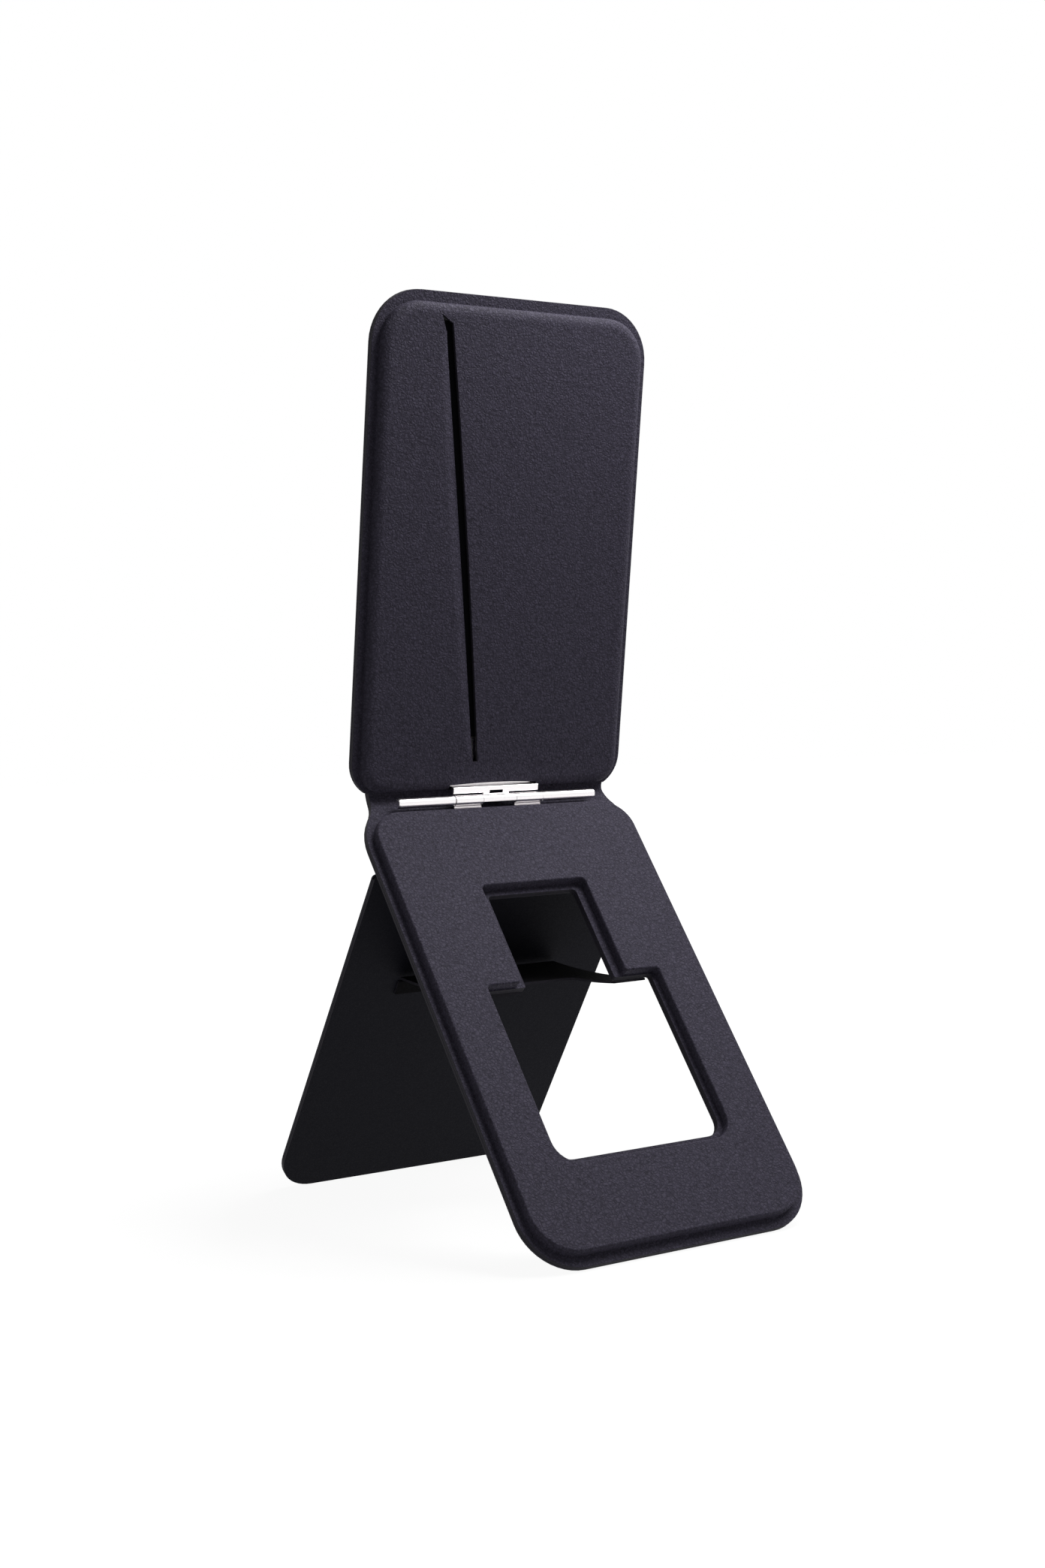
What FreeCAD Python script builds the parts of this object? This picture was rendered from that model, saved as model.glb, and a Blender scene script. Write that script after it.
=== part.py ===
import FreeCAD, Part
import os
import re
from math import atan2, cos, radians, sin

import Sketcher

# Folding magnetic phone stand with a card wallet, in millimetres and degrees.
#
# Three leather panels make it.  The wallet panel carries the phone on its back face and
# cards behind its front one.  A steel friction hinge joins it to the stand frame, the
# panel with the T-shaped window that leans out to the front foot.  The support leg hangs
# from a leather crease on the frame's back and makes the rear foot, and a web cut as the
# window's own flap stops the two feet from sliding apart.
#
# X runs across the panels, Y from the front foot to the rear foot and Z up.  The origin
# is on the floor, half way between the two feet.  Every panel is drawn in a frame of its
# own: x across, y up along the panel, z out of its front face, from the axis it turns on.

DIMENSIONS = {
    # stance: how far each panel is from upright
    "wallet_lean": 9.8,
    "frame_tilt": 36.5,
    "leg_tilt": 35.25,
    # panels: the reach is from the hinge pin's axis to the free edge of wallet and frame
    "panel_width": 64.0,
    "panel_reach": 98.6,
    "free_corner": 10.5,
    "skin": 0.7,
    "fit_gap": 0.1,
    "seam_gap": 0.05,
    # pin axis in front of each panel's flange, and where the flange ends beside the neck
    "wallet_setback": 3.5,
    "frame_setback": 2.1,
    "wallet_neck_end": 1.6,
    "frame_neck_end": 1.5,
    "wallet_shoulder": 7.0,
    "wallet_shoulder_reach": 7.6,
    "frame_shoulder": 12.0,
    "frame_shoulder_reach": 9.0,
    "neck_inset": 3.9,
    # raised pads inside the flanges
    "wallet_pad_rise": 1.8,
    "frame_pad_rise": 2.0,
    "side_ledge": 1.5,
    "end_ledge": 2.2,
    "near_ledge": 0.2,
    "pad_free_corner": 8.6,
    "wallet_pad_corner": 5.0,
    "frame_pad_corner": 6.5,
    "pad_bevel": 0.5,
    # T-shaped window through the frame
    "window_top": 21.6,
    "window_step": 42.5,
    "foot_border": 20.2,
    "window_neck_half": 11.1,
    "window_half": 18.9,
    "window_foot_corner": 3.5,
    "window_corner": 1.0,
    "window_ledge": 1.4,
    # stiffeners and padding
    "frame_board": 0.6,
    "carrier": 0.9,
    "liner": 0.1,
    # phone magnet ring
    "ring_margin": 2.7,
    "ring_band": 4.0,
    "ring_segments": 18,
    "segment_gap_angle": 2.0,
    "ring_magnet": 0.5,
    "shield": 0.2,
    "key_magnet_width": 5.0,
    "key_magnet_length": 7.4,
    "key_magnet_gap": 2.6,
    "key_leaf_gap": 1.0,
    # card pocket
    "pocket_start": 5.0,
    "pocket_wall": 2.4,
    "card_bottom": 6.2,
    "card_corner": 3.2,
    "slit_border": 5.2,
    "slit_bottom": 7.4,
    "slit_top_x": 16.9,
    "slit_bottom_x": 5.4,
    "slit_top_width": 1.5,
    "slit_bottom_width": 1.1,
    "slit_bow": 0.5,
    # friction hinge
    "pin_diameter": 1.2,
    "knuckle_diameter": 2.0,
    "bore_clearance": 0.03,
    "bar_clearance": 0.02,
    "hinge_inset": 8.6,
    "bar_end_wall": 0.6,
    "bar_chamfer": 0.2,
    "knuckle_span": 20.6,
    "centre_knuckle": 7.8,
    "knuckle_gap": 0.1,
    "knuckle_relief": 0.35,
    "leaf": 0.5,
    "leaf_reach": 12.0,
    "leaf_cover": 0.15,
    "lower_leaf_notch": 1.4,
    "upper_leaf_half": 9.8,
    "bracket_half": 10.1,
    "bracket_bottom": 1.15,
    "bracket_top": 2.45,
    "bracket_front": 0.8,
    "bracket": 0.8,
    "bracket_round": 0.15,
    "tongue_half": 3.0,
    "slot_half": 1.57,
    "slot_bottom": 0.95,
    "slot_top": 1.65,
    "lip_side": 2.75,
    "lip_rise": 0.65,
    "lip_gap": 0.2,
    # rivets through the hinge leaves
    "rivet_radius": 0.8,
    "rivet_spread": 6.0,
    "rivet_reach": 8.5,
    # support leg
    "leg_inset": 0.3,
    "leg_crease": 13.65,
    "leg_gap": 1.0,
    "leg_skin": 0.45,
    "leg_board": 0.4,
    "leg_corner": 8.5,
    "leg_top_corner": 0.8,
    "leg_board_margin": 3.0,
    "tab_near": 3.2,
    "tab_inset": 2.7,
    "tab_corner": 2.5,
    # catch that holds the leg shut
    "catch_width": 10.0,
    "catch_height": 4.0,
    "catch_magnet": 1.0,
    "catch_side": 10.0,
    "catch_drop": 6.0,
    # brace web between frame and leg
    "web": 0.5,
    "web_side_gap": 0.3,
    "web_reach": 27.0,
    "web_sag": 0.5,
    "web_notch": 14.2,
    "web_notch_corner": 1.5,
    "web_tab": 4.3,
}

# Lengths that follow from the dimensions.  The crease is the leg's axis, the bend is
# where the leather neck turns from the frame's plane into the wallet's.
DERIVED = {
    "flange": "2 * skin",
    "window_bottom": "panel_reach - foot_border",
    "cavity_half": "panel_width / 2 - side_ledge - skin",
    "cavity_far": "panel_reach - end_ledge - skin",
    "ring_outer_radius": "cavity_half - fit_gap - ring_margin",
    "ring_inner_radius": "ring_outer_radius - ring_band",
    "ring_centre": "leaf_reach + key_leaf_gap + key_magnet_length + key_magnet_gap"
                   " + ring_outer_radius",
    "card_half_width": "cavity_half - pocket_wall",
    "card_top": "cavity_far - pocket_wall",
    "slit_top": "panel_reach - slit_border",
    "hinge_span": "panel_width - 2 * hinge_inset",
    "lower_leaf_front": "frame_setback - frame_pad_rise + skin + leaf_cover",
    "leg_half": "panel_width / 2 - leg_inset",
    "tab_half_width": "leg_half - tab_inset",
    "web_half_width": "window_half - web_side_gap",
    "catch_x": "leg_half - catch_side",
    "catch_reach": "window_bottom + catch_drop",
    "leg_thickness": "2 * leg_skin + leg_board",
    "frame_back": "frame_setback + flange",
    "wallet_back": "wallet_setback + flange",
    "pin_height": "panel_reach * cos(frame_tilt) + frame_back * sin(frame_tilt)",
    "crease_height": "(panel_reach - leg_crease) * cos(frame_tilt)",
    "leg_reach": "crease_height / cos(leg_tilt)",
    "crease_back": "frame_back * cos(frame_tilt) - leg_crease * sin(frame_tilt)",
    "front_foot": "frame_setback * cos(frame_tilt) - panel_reach * sin(frame_tilt)",
    "rear_foot": "crease_back + leg_reach * sin(leg_tilt) + leg_thickness * cos(leg_tilt)",
    "pin_y": "-(front_foot + rear_foot) / 2",
    "fold": "wallet_lean + frame_tilt",
    "spread": "frame_tilt + leg_tilt",
    "wallet_pad_near": "wallet_neck_end + near_ledge",
    "frame_pad_near": "frame_neck_end + near_ledge",
    "wallet_shoulder_x": "panel_width / 2 - wallet_shoulder"
                         " + sqrt(wallet_shoulder ^ 2 - (wallet_shoulder_reach - wallet_neck_end) ^ 2)",
    "frame_shoulder_x": "panel_width / 2 - frame_shoulder"
                        " + sqrt(frame_shoulder ^ 2 - (frame_shoulder_reach - frame_neck_end) ^ 2)",
    "bend_run": "wallet_neck_end"
                " - ((wallet_setback + skin) * cos(fold) - (frame_setback + skin)) / sin(fold)",
    "bend_radius": "bend_run / tan(fold / 2)",
    "bend_start": "(wallet_setback + skin - (frame_setback + skin) * cos(fold)) / sin(fold)"
                  " - bend_run",
    "crease_rise": "(leg_gap * sin(spread) + (leg_thickness - leg_skin / 2) * cos(spread)"
                   " - leg_skin / 2)",
    "crease_radius": "crease_rise / (1 - cos(spread))",
    "crease_start": "crease_radius * sin(spread) - leg_gap * cos(spread)"
                    " + (leg_thickness - leg_skin / 2) * sin(spread)",
    "web_front_y": "frame_back * cos(frame_tilt) - window_step * sin(frame_tilt)",
    "web_front_z": "-frame_back * sin(frame_tilt) - window_step * cos(frame_tilt)",
    "web_rear_y": "crease_back + web_reach * sin(leg_tilt)",
    "web_rear_z": "crease_height - pin_height - web_reach * cos(leg_tilt)",
    "web_chord": "sqrt((web_rear_y - web_front_y) ^ 2 + (web_rear_z - web_front_z) ^ 2)",
    "web_slope": "atan((web_rear_z - web_front_z) / (web_rear_y - web_front_y))",
    "web_radius": "web_chord ^ 2 / (8 * web_sag) + web_sag / 2",
}

doc = FreeCAD.newDocument("folding_phone_stand")
sizes = doc.addObject("Spreadsheet::Sheet", "sizes")
for row, (alias, number) in enumerate(DIMENSIONS.items(), 1):
    sizes.set(f"B{row}", str(number))
    sizes.setAlias(f"B{row}", alias)
doc.recompute()


def qualified(formula):
    """The formula as FreeCAD reads it, with the home of each named length written out."""
    def home(match):
        word = match.group(0)
        if word in DIMENSIONS:
            return f"sizes.{word}"
        return f"derived.{word}" if word in DERIVED else word
    return re.sub(r"[a-z_]+", home, formula)


derived = doc.addObject("App::VarSet", "derived")
for name, formula in DERIVED.items():
    derived.addProperty("App::PropertyFloat", name)
    derived.setExpression(name, qualified(formula))
doc.recompute()


def value(formula):
    """The number that a formula comes to."""
    number = sizes.evalExpression(qualified(formula))
    return float(getattr(number, "Value", number))


# ---------------------------------------------------------------- drawing and features

def place(turn, y="pin_y", z="pin_height"):
    """A panel's frame: its axis at y, z, and its face turned about X."""
    return qualified(f"placement(vector(0; {y}; {z}); rotation(vector(1; 0; 0); {turn}))")


ON_WALLET = place("90 + wallet_lean")
ON_FRAME = place("90 - frame_tilt")
ON_LEG = place("90 + leg_tilt", "pin_y + crease_back", "crease_height")
AT_RING = place("90 + wallet_lean",
                "pin_y - ring_centre * sin(wallet_lean)",
                "pin_height + ring_centre * cos(wallet_lean)")
AT_WEB = place("web_slope", "pin_y + web_front_y", "pin_height + web_front_z")

NODES = []


def new_body(label, placement):
    """An empty sub-part, which may hold several like solids."""
    body = doc.addObject("PartDesign::Body", label)
    body.Label = label
    body.AllowCompound = True
    body.setExpression("Placement", placement)
    NODES.append(body)
    return body


def new_sketch(body, plane="XY_Plane", lift="0"):
    """A sketch on one of the body's own planes, lifted along that plane's normal."""
    sketch = body.newObject("Sketcher::SketchObject", "sketch")
    support = next(f for f in body.Origin.OriginFeatures if f.Role == plane)
    sketch.AttachmentSupport = (support, "")
    sketch.MapMode = "FlatFace"
    sketch.setExpression("AttachmentOffset.Base.z", qualified(lift))
    return sketch


def fix(sketch, kind, *where, formula):
    """Dimension part of a sketch by a formula."""
    index = sketch.addConstraint(Sketcher.Constraint(kind, *where, value(formula)))
    sketch.setExpression(f"Constraints[{index}]", qualified(formula))


def tie(sketch, kind, *where):
    """Constrain part of a sketch without a dimension."""
    sketch.addConstraint(Sketcher.Constraint(kind, *where))


def arc(centre, start, end):
    """The arc about centre that runs anticlockwise from start to end."""
    circle = Part.Circle(centre, FreeCAD.Vector(0, 0, 1), (start - centre).Length)
    angles = [atan2(p.y - centre.y, p.x - centre.x) for p in (start, end)]
    return Part.ArcOfCircle(circle, *angles)


def circle(sketch, x, y, radius):
    """A full circle at x, y."""
    centre = FreeCAD.Vector(value(x), value(y), 0)
    index = sketch.addGeometry(Part.Circle(centre, FreeCAD.Vector(0, 0, 1), value(radius)))
    fix(sketch, "DistanceX", -1, 1, index, 3, formula=x)
    fix(sketch, "DistanceY", -1, 1, index, 3, formula=y)
    fix(sketch, "Radius", index, formula=radius)


def outline(sketch, corners):
    """A closed outline through (x, y) or (x, y, radius) corners.

    A rounded corner joins two edges that are square to each other and to the axes.
    """
    count = len(corners)
    points = [FreeCAD.Vector(value(x), value(y), 0) for x, y, *_ in corners]
    rounds = [corner[2] if len(corner) == 3 else None for corner in corners]
    cuts = [value(r) if r else 0.0 for r in rounds]
    ways = [(points[(i + 1) % count] - points[i]).normalize() for i in range(count)]
    edges = []
    for i, way in enumerate(ways):
        j = (i + 1) % count
        ends = Part.LineSegment(points[i] + way * cuts[i], points[j] - way * cuts[j])
        edges.append(sketch.addGeometry(ends))
    upright = [abs(way.x) < 1e-7 for way in ways]
    level = [abs(way.y) < 1e-7 for way in ways]
    for i, edge in enumerate(edges):
        x, y = corners[i][:2]
        if upright[i]:
            tie(sketch, "Vertical", edge)
            fix(sketch, "DistanceX", -1, 1, edge, 1, formula=x)
        elif level[i]:
            tie(sketch, "Horizontal", edge)
            fix(sketch, "DistanceY", -1, 1, edge, 1, formula=y)
        if rounds[i]:
            round_corner(sketch, edges[i - 1], edge, points[i], ways[i - 1], ways[i], rounds[i])
            continue
        tie(sketch, "Coincident", edges[i - 1], 2, edge, 1)
        if not (upright[i] or upright[i - 1]):
            fix(sketch, "DistanceX", -1, 1, edge, 1, formula=x)
        if not (level[i] or level[i - 1]):
            fix(sketch, "DistanceY", -1, 1, edge, 1, formula=y)


def round_corner(sketch, before, after, corner, way_in, way_out, radius):
    """The tangent arc between two edges of an outline that meet squarely."""
    reach = value(radius)
    start, end = corner - way_in * reach, corner + way_out * reach
    centre = corner + (way_out - way_in) * reach
    left_turn = way_in.x * way_out.y - way_in.y * way_out.x > 0
    if left_turn:
        index = sketch.addGeometry(arc(centre, start, end))
    else:
        index = sketch.addGeometry(arc(centre, end, start))
    first, last = (1, 2) if left_turn else (2, 1)
    tie(sketch, "Tangent", before, 2, index, first)
    tie(sketch, "Tangent", index, last, after, 1)
    fix(sketch, "Radius", index, formula=radius)


def box(sketch, left, right, bottom, top, low_radius=None, high_radius=None):
    """A rectangle whose lower and upper corners may be rounded."""
    low = (low_radius,) if low_radius else ()
    high = (high_radius,) if high_radius else ()
    outline(sketch, [(left, bottom) + low, (right, bottom) + low,
                     (right, top) + high, (left, top) + high])


def panel(sketch, side, neck_end, shoulder, shoulder_reach, shoulder_x):
    """A panel's outline: round free corners, and shoulders that run into the neck.

    Side is 1 for a panel that stands up from the pin and -1 for one that hangs down.
    """
    half, corner, reach = "panel_width / 2", "free_corner", "panel_reach"
    run, far = f"({half} - {corner})", f"({reach} - {corner})"
    at = {"near": neck_end, "side": shoulder_reach, "turn": far, "far": reach}
    y = {name: f"{side} * {formula}" for name, formula in at.items()}

    def point(x_formula, y_formula):
        return FreeCAD.Vector(value(x_formula), value(y_formula), 0)

    edge = sketch.addGeometry(Part.LineSegment(point(f"-{run}", y["far"]), point(run, y["far"])))
    base = sketch.addGeometry(Part.LineSegment(point(f"-{shoulder_x}", y["near"]),
                                               point(shoulder_x, y["near"])))
    for line, formula in ((edge, y["far"]), (base, y["near"])):
        tie(sketch, "Horizontal", line)
        fix(sketch, "DistanceY", -1, 1, line, 1, formula=formula)
    for hand, end in ((-1, 1), (1, 2)):
        flank = sketch.addGeometry(Part.LineSegment(point(f"{hand} * {half}", y["side"]),
                                                    point(f"{hand} * {half}", y["turn"])))
        tie(sketch, "Vertical", flank)
        fix(sketch, "DistanceX", -1, 1, flank, 1, formula=f"{hand} * {half}")
        turns_left = hand * side > 0
        centre = point(f"{hand} * {run}", y["turn"])
        tips = [point(f"{hand} * {half}", y["turn"]), point(f"{hand} * {run}", y["far"])]
        round_end = sketch.addGeometry(arc(centre, *(tips if turns_left else tips[::-1])))
        first, last = (1, 2) if turns_left else (2, 1)
        tie(sketch, "Tangent", flank, 2, round_end, first)
        tie(sketch, "Tangent", round_end, last, edge, end)
        fix(sketch, "Radius", round_end, formula=corner)
        centre = point(f"{hand} * ({half} - {shoulder})", y["side"])
        tips = [point(f"{hand} * {shoulder_x}", y["near"]), point(f"{hand} * {half}", y["side"])]
        neck_side = sketch.addGeometry(arc(centre, *(tips if turns_left else tips[::-1])))
        tie(sketch, "Tangent", neck_side, last, flank, 1)
        tie(sketch, "Coincident", neck_side, first, base, end)
        fix(sketch, "Radius", neck_side, formula=shoulder)
        fix(sketch, "DistanceY", -1, 1, neck_side, 3, formula=y["side"])


def wallet_panel(sketch):
    panel(sketch, 1, "wallet_neck_end", "wallet_shoulder", "wallet_shoulder_reach",
          "wallet_shoulder_x")


def frame_panel(sketch):
    panel(sketch, -1, "frame_neck_end", "frame_shoulder", "frame_shoulder_reach",
          "frame_shoulder_x")


def wallet_pad(sketch, inset):
    """The wallet's raised pad, drawn in by an inset."""
    half = f"(cavity_half + skin - {inset})"
    box(sketch, f"-{half}", half, f"wallet_pad_near + {inset}", f"cavity_far + skin - {inset}",
        f"wallet_pad_corner - {inset}", f"pad_free_corner - {inset}")


def frame_pad(sketch, inset):
    """The frame's raised pad, drawn in by an inset."""
    half = f"(cavity_half + skin - {inset})"
    box(sketch, f"-{half}", half, f"{inset} - cavity_far - skin", f"-frame_pad_near - {inset}",
        f"pad_free_corner - {inset}", f"frame_pad_corner - {inset}")


def window(sketch, grow, square=False):
    """The T-shaped window of the frame, grown all round, its far corners round or square."""
    neck, half = f"(window_neck_half + {grow})", f"(window_half + {grow})"
    top, step, foot = f"{grow} - window_top", f"{grow} - window_step", f"-{grow} - window_bottom"
    corner = () if square else (f"window_corner + {grow}",)
    foot_corner = () if square else (f"window_foot_corner + {grow}",)
    outline(sketch, [(f"-{half}", foot) + foot_corner, (half, foot) + foot_corner,
                     (half, step) + corner, (neck, step, "window_corner"),
                     (neck, top) + corner, (f"-{neck}", top) + corner,
                     (f"-{neck}", step, "window_corner"), (f"-{half}", step) + corner])


def extrude(body, sketch, length, down=False, both=False):
    """Pad a sketch along its normal, against it, or by half to each side."""
    pad = body.newObject("PartDesign::Pad", "pad")
    pad.Profile = sketch
    pad.setExpression("Length", qualified(length))
    pad.Reversed = down
    if both:
        pad.SideType = "Symmetric"
    return pad


def cut(body, sketch, depth, up=False, both=False):
    """Cut a sketch into the body below it, above it or to both sides."""
    doc.recompute()
    before = body.Shape.Volume
    pocket = body.newObject("PartDesign::Pocket", "pocket")
    pocket.Profile = sketch
    pocket.setExpression("Length", qualified(depth))
    pocket.Reversed = up
    if both:
        pocket.SideType = "Symmetric"
    doc.recompute()
    if body.Shape.Volume > before - 1e-6:
        raise RuntimeError(f"a pocket of {body.Label} cuts nothing")
    return pocket


def turn(body, sketch, axis, angle="360"):
    """Revolve a sketch about one of the body's axes or the sketch's own."""
    revolved = body.newObject("PartDesign::Revolution", "revolved")
    revolved.Profile = sketch
    revolved.ReferenceAxis = axis
    revolved.setExpression("Angle", qualified(angle))
    return revolved


def axis_of(body, role):
    return (next(f for f in body.Origin.OriginFeatures if f.Role == role), [""])


def dress_edges(body, kind, feature, chosen, amount):
    """A Fillet or Chamfer on those edges of a feature that a test on the edge picks out."""
    doc.recompute()
    names = [f"Edge{i}" for i, edge in enumerate(feature.Shape.Edges, 1) if chosen(edge)]
    dressed = body.newObject(f"PartDesign::{kind}", kind.lower())
    dressed.Base = (feature, names)
    dressed.setExpression("Radius" if kind == "Fillet" else "Size", qualified(amount))
    return dressed


def at_height(formula):
    """A test for the edges that lie flat at one z."""
    z = value(formula)
    return lambda edge: abs(edge.BoundBox.ZMin - z) < 1e-4 and abs(edge.BoundBox.ZMax - z) < 1e-4


def sheet(label, placement, bottom, thickness, *profiles):
    """A flat piece: outlines drawn at one height and padded up."""
    body = new_body(label, placement)
    sketch = new_sketch(body, lift=bottom)
    for profile in profiles:
        profile(sketch)
    extrude(body, sketch, thickness)
    return body


# ------------------------------------------------------------------------- stand frame

FRAME_CAVITY = "window_ledge + skin"


def rivet_holes(sketch, side, radius):
    """A pair of holes through a hinge leaf."""
    for hand in (-1, 1):
        circle(sketch, f"{hand} * rivet_spread", f"{side} * rivet_reach", radius)


def catch_bars(sketch, reach, grow="0"):
    """The pair of bars that hold the folded leg, grown all round."""
    wide, tall = f"(catch_width / 2 + {grow})", f"(catch_height / 2 + {grow})"
    for hand in (-1, 1):
        box(sketch, f"{hand} * catch_x - {wide}", f"{hand} * catch_x + {wide}",
            f"-{reach} - {tall}", f"{tall} - {reach}")


def frame_back_skin():
    """Flat leather skin behind the whole frame, with the window cut out."""
    sheet("frame_back_skin", ON_FRAME, "-frame_back", "skin",
          frame_panel, lambda sketch: window(sketch, "0"))


def frame_front_skin():
    """Leather skin pressed into a flange and a raised pad round the window."""
    body = new_body("frame_front_skin", ON_FRAME)
    flange = new_sketch(body, lift="-frame_setback")
    frame_panel(flange)
    window(flange, "0")
    extrude(body, flange, "skin", down=True)
    crown = new_sketch(body, lift="-frame_setback")
    frame_pad(crown, "0")
    window(crown, "window_ledge")
    raised = extrude(body, crown, "frame_pad_rise")
    crest = at_height("frame_pad_rise - frame_setback")
    dress_edges(body, "Chamfer", raised, crest, "pad_bevel")
    hollow = new_sketch(body, lift="-frame_setback - skin")
    frame_pad(hollow, "skin")
    window(hollow, FRAME_CAVITY)
    cut(body, hollow, "frame_pad_rise", up=True)
    mouth = new_sketch(body, lift="-lower_leaf_front + fit_gap")
    half = "(knuckle_span / 2 + fit_gap)"
    box(mouth, f"-{half}", half, "-frame_pad_near - 2 * skin", "0")
    cut(body, mouth, "leaf + 2 * fit_gap")


def frame_board():
    """Thin stiffening board between the skins."""
    sheet("frame_board", ON_FRAME, "-frame_setback - skin", "frame_board",
          lambda sketch: frame_pad(sketch, "(skin + fit_gap)"),
          lambda sketch: window(sketch, f"({FRAME_CAVITY} + fit_gap)", square=True),
          lambda sketch: rivet_holes(sketch, -1, "rivet_radius + bar_clearance"))


def frame_pad_core():
    """Foam that fills the raised pad, with a seat for the hinge leaf and the magnets."""
    floor = "(frame_board - frame_setback - skin)"
    body = sheet("frame_pad_core", ON_FRAME, floor, "frame_pad_rise - frame_board",
                 lambda sketch: frame_pad(sketch, "(skin + fit_gap)"),
                 lambda sketch: window(sketch, f"({FRAME_CAVITY} + fit_gap)", square=True),
                 lambda sketch: rivet_holes(sketch, -1, "rivet_radius + bar_clearance"))
    seat = new_sketch(body, lift="frame_pad_rise - frame_setback - skin")
    half = "(knuckle_span / 2 + fit_gap)"
    box(seat, f"-{half}", half, "-leaf_reach - fit_gap", "0")
    cut(body, seat, "frame_pad_rise - frame_setback - skin + lower_leaf_front + leaf")
    seats = new_sketch(body, lift=floor)
    catch_bars(seats, "catch_reach", "fit_gap")
    cut(body, seats, "catch_magnet", up=True)


def leg_catch_magnets():
    """Two bar magnets in the frame's foot that hold the folded leg."""
    sheet("leg_catch_magnets", ON_FRAME, "frame_board - frame_setback - skin", "catch_magnet",
          lambda sketch: catch_bars(sketch, "catch_reach"))


def lower_hinge_leaf():
    """Steel leaf riveted into the frame, rolled into two knuckles round the pin."""
    body = new_body("lower_hinge_leaf", ON_FRAME)
    strip = new_sketch(body, "YZ_Plane")
    back, front = "-lower_leaf_front - leaf", "-lower_leaf_front"
    root = "-knuckle_diameter / 2 + bore_clearance"
    outline(strip, [("-leaf_reach", back), ("0", back), ("0", "-pin_diameter / 2 - leaf / 4"),
                    (root, "-pin_diameter / 2 - leaf / 4"), (root, front), ("-leaf_reach", front)])
    extrude(body, strip, "knuckle_span", both=True)
    roll = new_sketch(body, "YZ_Plane")
    circle(roll, "0", "0", "knuckle_diameter / 2")
    extrude(body, roll, "knuckle_span", both=True)
    gap = new_sketch(body)
    half = "(centre_knuckle / 2 + knuckle_gap)"
    box(gap, f"-{half}", half, "-lower_leaf_notch", "knuckle_diameter")
    cut(body, gap, "4 * knuckle_diameter", both=True)
    bore = new_sketch(body, "YZ_Plane")
    circle(bore, "0", "0", "pin_diameter / 2 + bore_clearance")
    cut(body, bore, "2 * knuckle_span", both=True)
    holes = new_sketch(body)
    rivet_holes(holes, -1, "rivet_radius + bar_clearance")
    cut(body, holes, "lower_leaf_front + 2 * leaf")


def lower_leaf_rivets():
    """Two flush rivets through the lower leaf, the foam and the board."""
    sheet("lower_leaf_rivets", ON_FRAME, "-frame_setback - skin",
          "frame_setback + skin - lower_leaf_front",
          lambda sketch: rivet_holes(sketch, -1, "rivet_radius"))


def hinge_pin():
    """Hard steel pin through all three knuckles, its ends pressed into the bars."""
    body = new_body("hinge_pin", ON_FRAME)
    end = new_sketch(body, "YZ_Plane")
    circle(end, "0", "0", "pin_diameter / 2")
    extrude(body, end, "hinge_span - 2 * bar_end_wall", both=True)


def hinge_bar(label, hand):
    """Bright sleeve pressed on one end of the pin, level with the knuckles."""
    body = new_body(label, ON_FRAME)
    profile = new_sketch(body)
    near = f"{hand} * (knuckle_span / 2 + knuckle_gap)"
    far = f"{hand} * hinge_span / 2"
    floor = f"{hand} * (hinge_span / 2 - bar_end_wall)"
    outer, bore = "knuckle_diameter / 2", "pin_diameter / 2 + bar_clearance"
    shy = f"{outer} - bar_chamfer"
    outline(profile, [(near, bore), (near, shy), (f"{near} + {hand} * bar_chamfer", outer),
                      (f"{far} - {hand} * bar_chamfer", outer), (far, shy), (far, "0"),
                      (floor, "0"), (floor, bore)])
    turn(body, profile, axis_of(body, "X_Axis"))


def neck_skin():
    """Leather neck behind the hinge: flat on from the frame, then bent into the wallet."""
    body = new_body("neck_skin", ON_FRAME)
    flat = new_sketch(body, "YZ_Plane")
    box(flat, "-frame_neck_end", "bend_start", "-frame_back", "-frame_setback")
    extrude(body, flat, "panel_width", both=True)
    bent = new_sketch(body, "XZ_Plane", lift="-bend_start")
    half = "panel_width / 2"
    box(bent, f"-{half}", half, "-frame_back", "-frame_setback")
    spine = bent.addGeometry(Part.LineSegment(
        FreeCAD.Vector(-1, value("bend_radius - frame_setback - skin"), 0),
        FreeCAD.Vector(1, value("bend_radius - frame_setback - skin"), 0)), True)
    tie(bent, "Horizontal", spine)
    fix(bent, "DistanceY", -1, 1, spine, 1, formula="bend_radius - frame_setback - skin")
    fix(bent, "DistanceX", -1, 1, spine, 1, formula="-1")
    fix(bent, "DistanceX", -1, 1, spine, 2, formula="1")
    turn(body, bent, (bent, ["Axis0"]), "fold - 90 * seam_gap / (2 * bend_radius)")
    waist = new_sketch(body, lift="bend_radius")
    for hand in (-1, 1):
        notch(waist, hand)
    cut(body, waist, "4 * bend_radius + 2 * wallet_back")


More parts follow.
